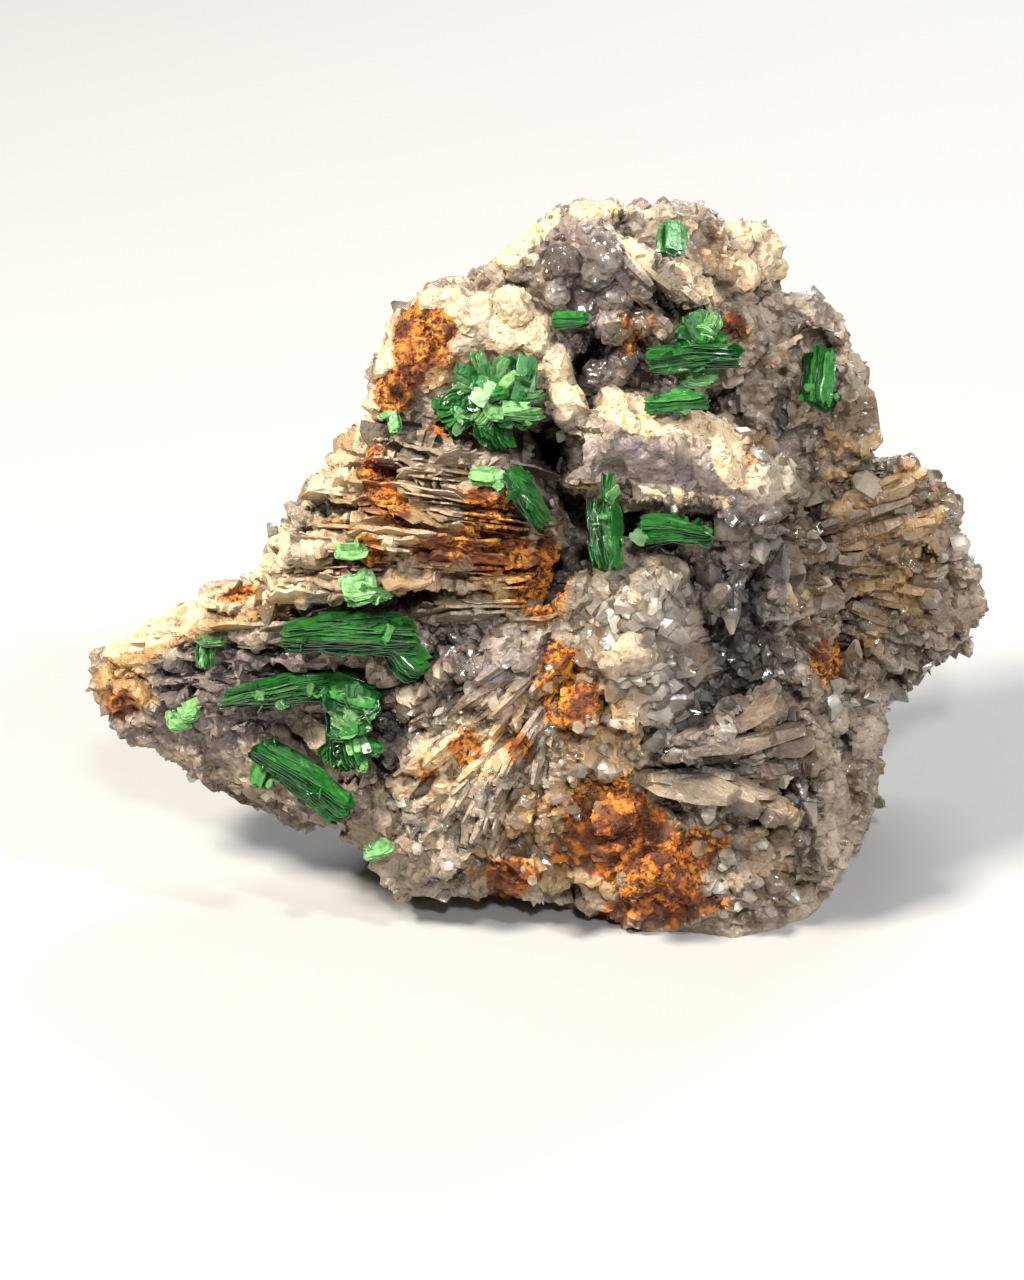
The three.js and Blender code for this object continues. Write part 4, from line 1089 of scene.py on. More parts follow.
class Surface:
    """The finished rock's surface, for what grows on it."""

    # Nothing grows this near a book
    CLEARANCE = 0.55
    GOLDEN_ANGLE = math.pi * (3.0 - math.sqrt(5.0))
    # Rays start this far off the surface, so that they don't meet it
    RAY_START = 0.12

    def __init__(self, piece: Piece) -> None:
        """Reads the rock's triangles.

        Args:
            piece: The rock.
        """
        mesh = piece.data
        mesh.calc_loop_triangles()
        self.corners = rows_of(mesh.loop_triangles, "vertices", 3)
        self.points = points_of(piece)
        a, b, c = (self.points[self.corners[:, k]] for k in range(3))
        cross = np.cross(b - a, c - a)
        self.areas = 0.5 * np.linalg.norm(cross, axis=1)
        self.middles = (a + b + c) / 3.0
        soft = normals_of(piece)
        self.normals = unit(sum(soft[self.corners[:, k]] for k in range(3)) + 1e-9)
        self.tree = BVHTree.FromPolygons(self.points.tolist(), self.corners.tolist())
        self.free = np.ones(len(self.areas))
        for book in ALL_BOOKS:
            self.free *= ~book.near(self.middles, self.CLEARANCE)

    def hollow(self, points: Array, normals: Array, rays: int = 10, reach: float = 3.6) -> Array:
        """Gives how shut in each point is, which the finishes darken as painted shade in the hollows.

        Args:
            points: Where it is measured.
            normals: The directions that the surface faces there.
            rays: How many directions are tried for each point.
            reach: How far off something still shuts a point in.

        Returns:
            0 in the open and 1 where everything is near.
        """
        turn = np.arange(rays) * self.GOLDEN_ANGLE
        rise = np.sqrt(1.0 - (np.arange(rays) + 0.5) / rays)
        flat = np.sqrt(1.0 - rise * rise)
        local = np.stack([flat * np.cos(turn), flat * np.sin(turn), rise], axis=1)
        ways = np.einsum("nij,rj->nri", bases(unit(normals), np.zeros(len(points))), local)
        starts = points + unit(normals) * self.RAY_START
        shut = np.zeros(len(points))
        cast = self.tree.ray_cast
        for i, (start, fan) in enumerate(zip(starts.tolist(), ways.tolist())):
            shut[i] = sum(cast(start, way, reach)[0] is not None for way in fan)
        return shut / rays

    def sighted(self, x: float, h: float) -> tuple[Vector | None, Vector | None]:
        """Finds the rock's point that is seen at a place and its normal, or None twice."""
        sight = unit(EYE.on_picture(x, h)[0] - EYE.place)
        return self.tree.ray_cast(Vector(EYE.place), Vector(sight))[:2]

    def under(self, x: float, h: float) -> tuple[Array, Array]:
        """Finds what is seen at a place: the rock, or the face's plane where there is none.

        Args:
            x: The place to the right.
            h: Its height.

        Returns:
            The point and its normal.
        """
        hit, normal = self.sighted(x, h)
        if hit is None:
            return EYE.on_face(x, h), EYE.towards
        return np.array(hit), np.array(normal)

    def scatter(self, weights: Array, count: int, seed: int) -> tuple[Array, Array]:
        """Picks places over the surface.

        Args:
            weights: How likely each triangle is, for its area.
            count: How many places.
            seed: Sets the pattern apart from others.

        Returns:
            The places and the directions that the surface faces there.
        """
        random = np.random.default_rng(seed)
        chance = self.areas * weights * self.free
        picked = random.choice(len(chance), count, p=chance / chance.sum())
        u, v = random.random((2, count))
        fold = u + v > 1
        u[fold], v[fold] = 1 - u[fold], 1 - v[fold]
        a, b, c = (self.points[self.corners[picked, k]] for k in range(3))
        return a + (b - a) * u[:, None] + (c - a) * v[:, None], self.normals[picked]


@dataclass(frozen=True)
class Growth:
    """A stand of quartz crystals on one region of the rock."""

    name: str
    regions: list[Patch]
    count: int
    radius: Two
    height: Two
    spread: float
    lean: Three = (0.0, 0.0, 0.0)


@dataclass
class QuartzCrystals:
    """The small quartz crystals that sparkle over the rock."""

    surface: Surface
    shapes: Shapes
    seed: int = 300
    rear_seed: int = 390
    flattened: float = 0.94
    sunk: float = 0.35
    assembly: Assembly = field(default_factory=Assembly)

    HOLLOW = ovals((12.2, 16.2, 3.2, 4.6), (13.4, 20.4, 2.0, 3.0))
    REAR = Growth("far sides", [], 1100, (0.2, 0.75), (0.4, 0.75), 0.9)
    GROWTHS = [
        Growth("middle", [Patch(6.2, 16.4, 3.4, 4.4), Patch(8.6, 13.6, 2.4, 2.6)], 340, (0.2, 0.85), (0.6, 1.1), 0.9),
        Growth("hollow", HOLLOW, 300, (0.2, 0.72), (0.8, 1.4), 0.8, (0.2, 0.1, 0.5)),
        Growth("brow end", ovals((13.2, 24.6, 1.8, 3.0), (12.0, 22.6, 2.2, 1.4)), 110, (0.2, 0.7), (0.6, 1.1), 0.8),
        Growth("brow foot", [Patch(8.0, 23.4, 4.6, 0.7, 1.0, -8)], 90, (0.1, 0.3), (0.7, 1.2), 0.7),
        Growth("between the rust", [Patch(4.8, 10.2, 2.0, 2.6)], 90, (0.14, 0.55), (0.5, 1.0), 0.9),
        Growth("lower right", ovals((12.0, 10.8, 4.0, 1.8), (13.0, 4.6, 4.2, 4.2)), 170, (0.25, 0.9), (0.6, 1.1), 0.9),
        Growth("spray", [Patch(11.0, 8.4, 5.4, 3.0)], 150, (0.14, 0.55), (0.6, 1.2), 0.8, (0.6, 0.0, 0.2)),
        Growth("striae", [Patch(-1.4, 11.6, 4.8, 3.6)], 190, (0.08, 0.3), (0.6, 1.1), 0.8, (-0.4, -0.4, 0.2)),
        Growth("lower face", [Patch(-1.2, 7.4, 6.4, 5.0)], 220, (0.1, 0.42), (0.5, 1.0), 0.9),
        Growth("peak", [Patch(4.0, 35.6, 3.4, 3.0), Patch(5.0, 31.6, 2.6, 3.2)], 170, (0.12, 0.4), (0.4, 0.8), 0.9),
        Growth("under the long book", [Patch(-2.0, 15.0, 4.0, 3.4)], 150, (0.12, 0.5), (0.6, 1.1), 0.8),
        Growth("far right", [Patch(19.6, 20.0, 6.0, 9.0)], 220, (0.2, 0.75), (0.5, 0.9), 0.9),
    ]

    def build(self) -> Piece:
        """Grows every stand.

        Returns:
            The piece.
        """
        seen = Seen(self.surface.middles)
        for index, growth in enumerate(self.GROWTHS):
            self.grow(growth, seen.mask(growth.regions, 0.3, 0.4), self.seed + index)
        away = 1.0 - smooth(-0.35, 0.1, self.surface.normals @ EYE.towards)
        high = smooth(0.6, 1.4, self.surface.middles[:, 2])
        self.grow(self.REAR, away * high, self.rear_seed)
        piece = self.assembly.build("quartz_crystals")
        stain(piece)
        return piece

    def grow(self, growth: Growth, weights: Array, seed: int) -> None:
        """Grows one stand.

        Args:
            growth: The stand.
            weights: How likely each triangle of the rock is to carry a crystal.
            seed: Sets the stand apart from others.
        """
        random = np.random.default_rng(seed)
        places, normals = self.surface.scatter(weights, growth.count, seed)
        lean = sum(share * way for share, way in zip(growth.lean, (EYE.right, EYE.up, EYE.towards)))
        axes = unit(normals + growth.spread * random.normal(0, 0.6, (growth.count, 3)) + lean)
        low, high = growth.radius
        radius = low + (high - low) * random.random(growth.count) ** 1.8
        height = radius * random.uniform(*growth.height, growth.count)
        frames = bases(axes, random.uniform(0, math.tau, growth.count))
        forms = self.shapes.crystals + self.shapes.shards
        kind = random.integers(0, len(forms), growth.count)
        glass = random.random(growth.count)
        sizes = np.stack([radius, radius * self.flattened, height], axis=1)
        roots = places - axes * (height * self.sunk)[:, None]
        # How shut in each crystal stands, which the crystal finish darkens as painted shade
        shut = self.surface.hollow(places, normals)
        stamp(self.assembly, forms, kind, (frames, sizes, roots), tone=glass, hollow=shut)
        LOG.info("%s: %d crystals", growth.name, growth.count)


@dataclass
class Nodules:
    """Rounded knobs of quartz: glassy ones in the hollow under the peak, and cream lumps on the shoulders."""

    surface: Surface
    name: str
    knobs: list[Three]
    coat: float
    seed: int = 77
    face: float = 0.42
    darkest: float = 0.55
    # How shut in the knobs count, for the painted shade in hollows
    shut: float = 0.2

    GLASSY = [
        (3.4, 36.8, 1.3),
        (2.2, 35.4, 1.1),
        (4.7, 35.3, 1.2),
        (5.7, 33.9, 1.0),
        (4.0, 33.4, 1.0),
        (6.6, 32.7, 0.85),
        (5.2, 31.8, 0.95),
        (6.5, 30.7, 0.75),
        (4.7, 29.7, 0.85),
        (7.7, 29.1, 0.6),
        (8.5, 28.6, 0.5),
        (3.5, 31.6, 0.75),
        (2.5, 34.2, 0.8),
        (7.2, 31.6, 0.6),
    ]
    CREAM = [
        (-1.9, 32.9, 1.2),
        (-3.4, 32.2, 0.9),
        (0.3, 33.6, 1.0),
        (1.4, 31.6, 0.9),
        (12.9, 36.0, 1.5),
        (11.8, 36.9, 1.1),
        (12.2, 35.0, 1.2),
    ]

    def build(self) -> Piece:
        """Sets the knobs in the rock.

        Returns:
            The piece.
        """
        ball = self.ball()
        assembly = Assembly()
        random = np.random.default_rng(self.seed)
        coat = self.coat
        for index, (x, h, radius) in enumerate(self.knobs):
            hit, normal = self.surface.under(x, h)
            middle = hit - (0.45 + 0.25 * coat) * radius * normal
            points = ball.points * radius * random.uniform(0.8, 1.25, 3) + middle
            way, own, _ = cells(points, self.face, 160 + index)
            push = 0.16 * (own[:, 0] - 0.5) + 0.3 * np.sum(way * unit(own - 0.5), axis=1)
            push = push * (1.0 - 0.4 * coat) + 0.45 * radius * layered(points, 0.9, 3, 180 + index)
            points = points + unit(points - middle) * push[:, None]
            tone = np.array([self.darkest * random.random()])
            assembly.add(points[None], ball, tone=tone, hollow=np.array([self.shut]))
        piece = assembly.build(self.name)
        stain(piece)
        if coat > 0.0:
            level = np.full(len(piece.data.vertices), coat, np.float32)
            piece.data.attributes["cream"].data.foreach_set("value", level)
        return piece

    @staticmethod
    def ball() -> Template:
        """Models a ball of many small faces.

        Returns:
            The ball.
        """
        bpy.ops.object.select_all(action="DESELECT")
        bpy.ops.mesh.primitive_ico_sphere_add(subdivisions=4, radius=1.0)
        return Template.taken_from(bpy.context.active_object)


@dataclass(frozen=True)
class Fan:
    """A fan of thin blades that run out from a hub, as seen."""

    name: str
    hub: Two
    bearings: Two
    reach: Two
    length: Two
    thick: Two
    proud: Two
    count: int
    wander: float = 2.0
    jagged: bool = True


@dataclass
class QuartzBlades:
    """The thin blades and ledges of quartz that stand out of the rock."""

    surface: Surface
    shapes: Shapes
    seed: int = 500
    shortest: float = 0.8
    gap: float = 1.3
    clearance: float = 0.2
    rooted: float = 1.0
    assembly: Assembly = field(default_factory=Assembly)

    FANS = [
        Fan("left ledges", (38.0, 18.0), (168, 182), (37.5, 52.0), (2.4, 6.4), (0.1, 0.34), (0.2, 0.7), 150, 1.2),
        Fan("upper ledges", (38.0, 18.0), (169, 175), (37.0, 46.0), (3.6, 6.6), (0.1, 0.22), (0.5, 1.0), 26, 1.0),
        Fan("wing ledges", (38.0, 18.0), (178, 186), (46.0, 58.0), (2.4, 6.0), (0.08, 0.22), (0.03, 0.2), 90, 0.8),
        Fan("lower striae", (4.4, 17.4), (203, 250), (4.0, 12.5), (1.6, 4.2), (0.2, 0.7), (0.02, 0.2), 80, 3.0, False),
        Fan("right spray", (5.4, 9.2), (-18, 24), (3.6, 9.0), (3.0, 6.4), (0.8, 1.7), (0.2, 0.7), 16, 3.0, False),
        Fan("crest", (1.6, 40.0), (-62, -34), (4.6, 12.0), (1.5, 3.6), (0.4, 0.9), (0.2, 0.5), 16, 3.0, False),
        Fan("far ledges", (10.0, 19.6), (-22, 26), (7.0, 13.0), (2.0, 5.0), (0.4, 1.2), (0.2, 0.6), 30, 4.0, False),
    ]

    def build(self) -> Piece:
        """Sets every fan.

        Returns:
            The piece.
        """
        for index, fan in enumerate(self.FANS):
            self.set_fan(fan, self.seed + index)
        piece = self.assembly.build("quartz_blades")
        stain(piece)
        return piece

    def backed(self, middle: Array, way: Array, length: float) -> float:
        """Shortens a blade until there is rock behind both of its ends.

        Args:
            middle: The blade's middle.
            way: The direction along it.
            length: Its length.

        Returns:
            The length that has rock behind it, or 0.
        """
        while length > self.shortest:
            ends = np.stack([middle - way * length * 0.5, middle + way * length * 0.5])
            x, h = EYE.picture(ends)
            hits = [self.surface.sighted(x[i], h[i])[0] for i in range(2)]
            if all(hit is not None and abs(hit[1] - end[1]) < self.gap for hit, end in zip(hits, ends)):
                return length
            length *= 0.7
        return 0.0

    def set_fan(self, fan: Fan, seed: int) -> None:
        """Sets one fan's blades.

        Args:
            fan: The fan.
            seed: Sets the fan apart from others.
        """
        random = np.random.default_rng(seed)
        forms = self.shapes.jagged if fan.jagged else self.shapes.plain
        for _ in range(fan.count):
            bearing = math.radians(random.uniform(*fan.bearings))
            reach = random.uniform(*fan.reach)
            x = fan.hub[0] + reach * math.cos(bearing)
            h = fan.hub[1] + reach * math.sin(bearing)
            hit, normal = self.surface.under(x, h)
            turn = bearing + math.radians(random.normal(0, fan.wander))
            along = EYE.direction((math.cos(turn), math.sin(turn), 0.0))
            slant = -(along @ normal) / max(0.35, float(EYE.towards @ normal))
            along = unit(along + EYE.towards * np.clip(slant, -0.5, 0.5))
            length = self.backed(hit, along, random.uniform(*fan.length))
            proud, thick = random.uniform(*fan.proud), random.uniform(*fan.thick)
            shape = forms[random.integers(0, len(forms))]
            tone = random.random()
            if length == 0.0 or any(book.near(hit[None], self.clearance)[0] for book in ALL_BOOKS):
                continue
            out = unit(0.5 * EYE.towards + 0.5 * normal + random.normal(0, 0.08, 3))
            out = unit(out - along * (out @ along))
            frames = np.stack([along, out, np.cross(along, out)], axis=1)[None]
            deep = proud + self.rooted
            place = (hit + out * (proud - deep / 2))[None]
            # Each blade carries how shut in its edge stands, which the rock finish darkens as painted shade
            self.assembly.add(
                placed(shape, frames, np.array([[length, deep, thick]]), place),
                shape,
                tone=np.array([tone]),
                hollow=self.surface.hollow(place + out * deep / 2, out[None]),
            )
        LOG.info("%s: %d blades tried", fan.name, fan.count)


@dataclass(frozen=True)
class Crust:
    """A crust of grains over some regions of the rock."""

    name: str
    kind: Stain | None
    count: int
    radius: Two
    flat: float


@dataclass
class GrainCrust:
    """The crusts of grains: cream crust, earthy rust and sugary quartz."""

    surface: Surface
    shapes: Shapes
    crust: Crust
    seed: int
    flattened: float = 0.85
    rays: int = 6

    SUGAR = ovals((-2.0, 9.0, 7.0, 6.0), (5.4, 16.0, 3.6, 4.4))
    CRUSTS = [
        Crust("cream_crust", Stain.CREAM, 5000, (0.05, 0.2), 0.6),
        Crust("rust_crust", Stain.RUST, 5400, (0.05, 0.19), 0.9),
        Crust("sugar_quartz", None, 3000, (0.05, 0.16), 0.8),
    ]

    def build(self) -> Piece:
        """Lays the crust.

        Returns:
            The piece.
        """
        surface, crust, grains = self.surface, self.crust, self.shapes.grains
        random = np.random.default_rng(self.seed)
        seen = Seen(surface.middles)
        if crust.kind is None:
            weights = 0.25 + seen.mask(self.SUGAR)
            weights *= 1.0 - seen.mask(STAINS[Stain.CREAM] + STAINS[Stain.RUST])
        else:
            weights = seen.mask(STAINS[crust.kind]) ** 1.5
        weights = weights * smooth(0.5, 1.2, surface.middles[:, 2])
        places, normals = surface.scatter(weights, crust.count, self.seed)
        low, high = crust.radius
        radius = low + (high - low) * random.random(crust.count) ** 2.4
        axes = unit(normals + random.normal(0, 0.25, (crust.count, 3)))
        frames = bases(axes, random.uniform(0, math.tau, crust.count))
        kind = random.integers(0, len(grains), crust.count)
        tone = random.random(crust.count)
        assembly = Assembly()
        sizes = np.stack([radius, radius * self.flattened, radius * crust.flat], axis=1)
        # How shut in each grain stands, which the finishes darken as painted shade
        shut = surface.hollow(places, normals, self.rays)
        stamp(assembly, grains, kind, (frames, sizes, places), tone=tone, hollow=shut)
        piece = assembly.build(crust.name)
        stain(piece)
        return piece


@dataclass
class TorberniteCluster:
    """One group of torbernite crystals that grew together: books of thin plates."""

    name: str
    books: list[Book]
    shapes: Shapes
    seed: int
    stack_length: float = 1.9
    stack_share: float = 0.62
    flake_thickness: float = 0.07
    flake_area: float = 2.4
    random: np.random.Generator = field(init=False)
    assembly: Assembly = field(default_factory=Assembly)
    piece: Piece = field(init=False)

    def build(self) -> Piece:
        """Makes the cluster's plates and lets them stand for its solid.

        Returns:
            The piece.
        """
        self.random = np.random.default_rng(self.seed)
        for book in self.books:
            self.add_book(book)
        self.piece = self.assembly.build(f"torbernite_plates_{self.name}")
        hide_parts(f"torbernite_{self.name}")
        return self.piece

    def add_book(self, book: Book) -> None:
        """Stacks one book's plates, those of a long book in a few stacks that overlap and stand a little askew.

        Args:
            book: The book.
        """
        random = self.random
        axes = book.axes
        length, width, thickness = book.size
        stacks = max(1, int(length / self.stack_length))
        share = 1.0 if stacks == 1 else self.stack_share
        count = max(3, int(book.plates * (2.4 if stacks == 1 else 2.8 / stacks + 0.5)))
        for stack in range(stacks):
            slide = ((stack + 0.5) / stacks - 0.5) * length * self.stack_share
            askew = Matrix.Rotation(random.normal(0, 0.05), 3, "Z") @ Matrix.Rotation(random.normal(0, 0.09), 3, "X")
            size = (length * share, width * random.uniform(0.82, 1.0), thickness * random.uniform(0.8, 1.0))
            if stacks == 1:
                askew, size = Matrix.Identity(3), book.size
            self.add_stack(book, size, count, slide if stacks > 1 else 0.0, axes @ np.array(askew))
        self.add_flakes(book, axes)

    def add_stack(self, book: Book, size: Three, count: int, slide: float, axes: Array) -> None:
        """Adds one stack of plates, each hinged at the root and fanned towards the free end.

        Args:
            book: The book that it belongs to.
            size: The stack's length, width and thickness.
            count: How many plates it has.
            slide: How far along the book its middle stands.
            axes: Its directions, as columns.
        """
        random, plates = self.random, self.shapes.plates
        length, width, thickness = size
        middle = EYE.on_face(*book.at)
        pitch = thickness / count
        phase = random.uniform(0, 6)
        for i in range(count):
            level = i / (count - 1) - 0.5
            reach = length * (1.0 - 0.34 * random.random() ** 2.0 - 0.25 * abs(level))
            breadth = width * (0.9 + 0.08 * math.sin(level * 11.0 + phase) + random.uniform(-0.08, 0.02))
            spare = width * max(0.0, level - 0.08) * book.terrace * random.uniform(0.3, 1.6)
            breadth = max(0.25 * width, breadth - spare)
            shape = plates[random.integers(0, len(plates))]
            local = shape.points * (reach, breadth, pitch * random.uniform(0.85, 1.5))
            local[:, 1] *= 1.0 - random.uniform(0.0, 0.4) * (shape.points[:, 0] + 0.5)
            local[:, 2] += 0.045 * np.sin(local[:, 0] * 2.2 + phase) + 0.04 * np.sin(local[:, 1] * 2.9 + phase)
            turn = Matrix.Rotation(random.normal(0, 0.055), 3, "Z") @ Matrix.Rotation(random.normal(0, 0.025), 3, "X")
            local = local @ np.array(turn).T + (reach / 2 + random.uniform(0, length - reach) * 0.8, 0.0, 0.0)
            opening = math.radians(-level * book.fan) + random.normal(0, 0.012)
            local = local @ np.array(Matrix.Rotation(opening, 3, "Y")).T
            sway = 0.07 * math.sin(level * 7.0 + phase) + random.uniform(-0.04, 0.04)
            lift = level * (thickness - pitch)
            local += (slide - length / 2, width * sway + spare * random.uniform(-0.5, 0.5), lift)
            local[:, 2] -= book.curl * local[:, 0] ** 2 * (1.0 if level >= 0 else 0.6)
            # Each plate's green: darker towards the rock and lighter outwards, a painted shade and light across the
            # stack, with a random tone besides
            depth = 0.42 + 0.6 * level + 0.22 * math.sin(level * 13.0 + phase) + random.normal(0, 0.12)
            self.add_plate(local @ axes.T + middle, shape, book.pale, depth)

    def add_plate(self, points: Array, shape: Template, pale: float, depth: float) -> None:
        """Adds one plate with its own depth of green.

        Args:
            points: Its points in their places.
            shape: The shape that it is a copy of.
            pale: How pale the book is, from 0 to 1.
            depth: How light its green is, from 0 to 1.
        """
        tone = np.array([np.clip(depth, 0, 1)])
        light = np.array([np.clip(pale + self.random.normal(0, 0.16), 0, 1)])
        self.assembly.add(points[None], shape, tone=tone, pale=light)

    def add_flakes(self, book: Book, axes: Array) -> None:
        """Adds small plates that stand askew on a book.

        Args:
            book: The book.
            axes: Its directions, as columns.
        """
        random, plates = self.random, self.shapes.plates
        middle = EYE.on_face(*book.at)
        length, width, thickness = book.size
        front = math.copysign(0.5 * width, axes[:, 1] @ EYE.towards)
        for index in range(int(round(book.flakes * length * width / self.flake_area))):
            size = random.uniform(0.3, 0.8)
            shape = plates[random.integers(0, len(plates))]
            local = shape.points * (size * random.uniform(0.8, 1.5), size, self.flake_thickness)
            tilt = Matrix.Rotation(random.normal(0, 0.6), 3, "X") @ Matrix.Rotation(random.normal(0, 0.6), 3, "Y")
            turn = tilt @ Matrix.Rotation(random.uniform(0, 3.0), 3, "Z")
            spot = (random.uniform(-0.42, 0.42) * length, random.uniform(-0.42, 0.42) * width, thickness * 0.45)
            if index % 2:
                spot = (spot[0], front * random.uniform(0.7, 0.95), random.uniform(-0.5, 0.4) * thickness)
            local = local @ np.array(turn).T + spot
            local[:, 2] -= book.curl * spot[0] ** 2
            pale = book.pale + random.choice([0.0, 0.0, 0.1, 0.3])
            self.add_plate(local @ axes.T + middle, shape, pale, random.random())


class Nodes:
    """A material's node tree, with short ways to add to it."""

    def __init__(self, name: str) -> None:
        """Starts a material with a principled shader.

        Args:
            name: The material's name.
        """
        self.material = bpy.data.materials.new(name)
        self.material.use_nodes = True
        self.tree = self.material.node_tree
        self.shader = self.tree.nodes["Principled BSDF"]
        self.place = self.add("ShaderNodeTexCoord").outputs["Object"]

    def add(self, kind: str, **settings: object) -> bpy.types.Node:
        """Adds a node.

        Args:
            kind: The node's type.
            settings: Its properties by name.

        Returns:
            The node.
        """
        node = self.tree.nodes.new(kind)
        for key, value in settings.items():
            setattr(node, key, value)
        return node

    def link(self, source: Socket, target: Socket) -> None:
        """Joins two sockets."""
        self.tree.links.new(source, target)

    def noise(self, size: float, detail: float = 3.0) -> Socket:
        """Adds noise on the object's own coordinates.

        Args:
            size: The size of its features, in millimetres.
            detail: How many finer layers it has.

        Returns:
            Its value.
        """
        node = self.add("ShaderNodeTexNoise")
        node.inputs["Scale"].default_value = 1.0 / (size * MM)
        node.inputs["Detail"].default_value = detail
        self.link(self.place, node.inputs["Vector"])
        return node.outputs["Fac"]

    def crystals(self, size: float, output: str = "Color") -> Socket:
        """Adds a pattern of crystal cells.

        Args:
            size: The cells' size, in millimetres.
            output: Which of its outputs is wanted.

        Returns:
            That output.
        """
        node = self.add("ShaderNodeTexVoronoi", feature="F1")
        node.inputs["Scale"].default_value = 1.0 / (size * MM)
        self.link(self.place, node.inputs["Vector"])
        return node.outputs[output]

    def value(self, name: str) -> Socket:
        """Reads one of the piece's own attributes."""
        return self.add("ShaderNodeAttribute", attribute_name=name).outputs["Fac"]

    def ranged(self, source: Socket, side: str, low: float, high: float) -> Socket:
        """Maps a value from a range to 0 and 1, or from 0 and 1 to a range, and holds it there.

        Args:
            source: The value.
            side: From or To, the side that the range is on.
            low: The range's low end.
            high: Its high end.

        Returns:
            The mapped value.
        """
        node = self.add("ShaderNodeMapRange", clamp=True)
        node.inputs[f"{side} Min"].default_value = low
        node.inputs[f"{side} Max"].default_value = high
        self.link(source, node.inputs["Value"])
        return node.outputs["Result"]

    def ramp(self, source: Socket, low: float, high: float) -> Socket:
        """Spreads a value so that low becomes 0 and high becomes 1."""
        return self.ranged(source, "From", low, high)

    def scaled(self, source: Socket, low: float, high: float) -> Socket:
        """Turns a value from 0 to 1 into one from low to high."""
        return self.ranged(source, "To", low, high)

    def times(self, a: Socket, b: Socket | float) -> Socket:
        """Multiplies two values."""
        return self.maths("MULTIPLY", a, b)

    def maths(self, operation: str, a: Socket, b: Socket | float) -> Socket:
        """Combines two values.

        Args:
            operation: How.
            a: The first value.
            b: The second, or a number.

        Returns:
            The result.
        """
        node = self.add("ShaderNodeMath", operation=operation)
        self.link(a, node.inputs[0])
        if isinstance(b, float):
            node.inputs[1].default_value = b
        else:
            self.link(b, node.inputs[1])
        return node.outputs[0]

    def mix(self, share: Socket, a: Socket | Three, b: Socket | Three, kind: str = "MIX") -> Socket:
        """Mixes two colours.

        Args:
            share: How much of the second is taken.
            a: The first colour, or a socket that gives it.
            b: The second colour, or a socket that gives it.
            kind: How they are mixed.

        Returns:
            The mixed colour.
        """
        node = self.add("ShaderNodeMix", data_type="RGBA", blend_type=kind)
        self.link(share, node.inputs["Factor"])
        for source, socket in ((a, node.inputs["A"]), (b, node.inputs["B"])):
            colours = [s for s in node.inputs if s.name == socket.name and s.type == "RGBA"]
            if isinstance(source, tuple):
                colours[0].default_value = (*source, 1.0)
            else:
                self.link(source, colours[0])
        return next(s for s in node.outputs if s.type == "RGBA")

    def bump(self, *layers: tuple[Socket, float]) -> None:
        """Gives the shader bump from heights, each with its depth in millimetres.

        Args:
            layers: Heights and depths.
        """
        last = None
        for height, depth in layers:
            node = self.add("ShaderNodeBump")
            node.inputs["Distance"].default_value = depth * MM
            node.inputs["Strength"].default_value = 1.0
            self.link(height, node.inputs["Height"])
            if last is not None:
                self.link(last, node.inputs["Normal"])
            last = node.outputs["Normal"]
        self.link(last, self.shader.inputs["Normal"])

    def base(self, colour: Socket) -> None:
        """Sets the shader's colour."""
        self.link(colour, self.shader.inputs["Base Color"])

    def rough(self, value: Socket) -> None:
        """Sets the shader's roughness."""
        self.link(value, self.shader.inputs["Roughness"])

    def fixed(self, **values: float) -> None:
        """Sets numbers that are the same all over, by their sockets' names with underscores."""
        for name, value in values.items():
            self.shader.inputs[name.replace("_", " ")].default_value = value


QUARTZ_IOR, TORBERNITE_IOR = 1.544, 1.59


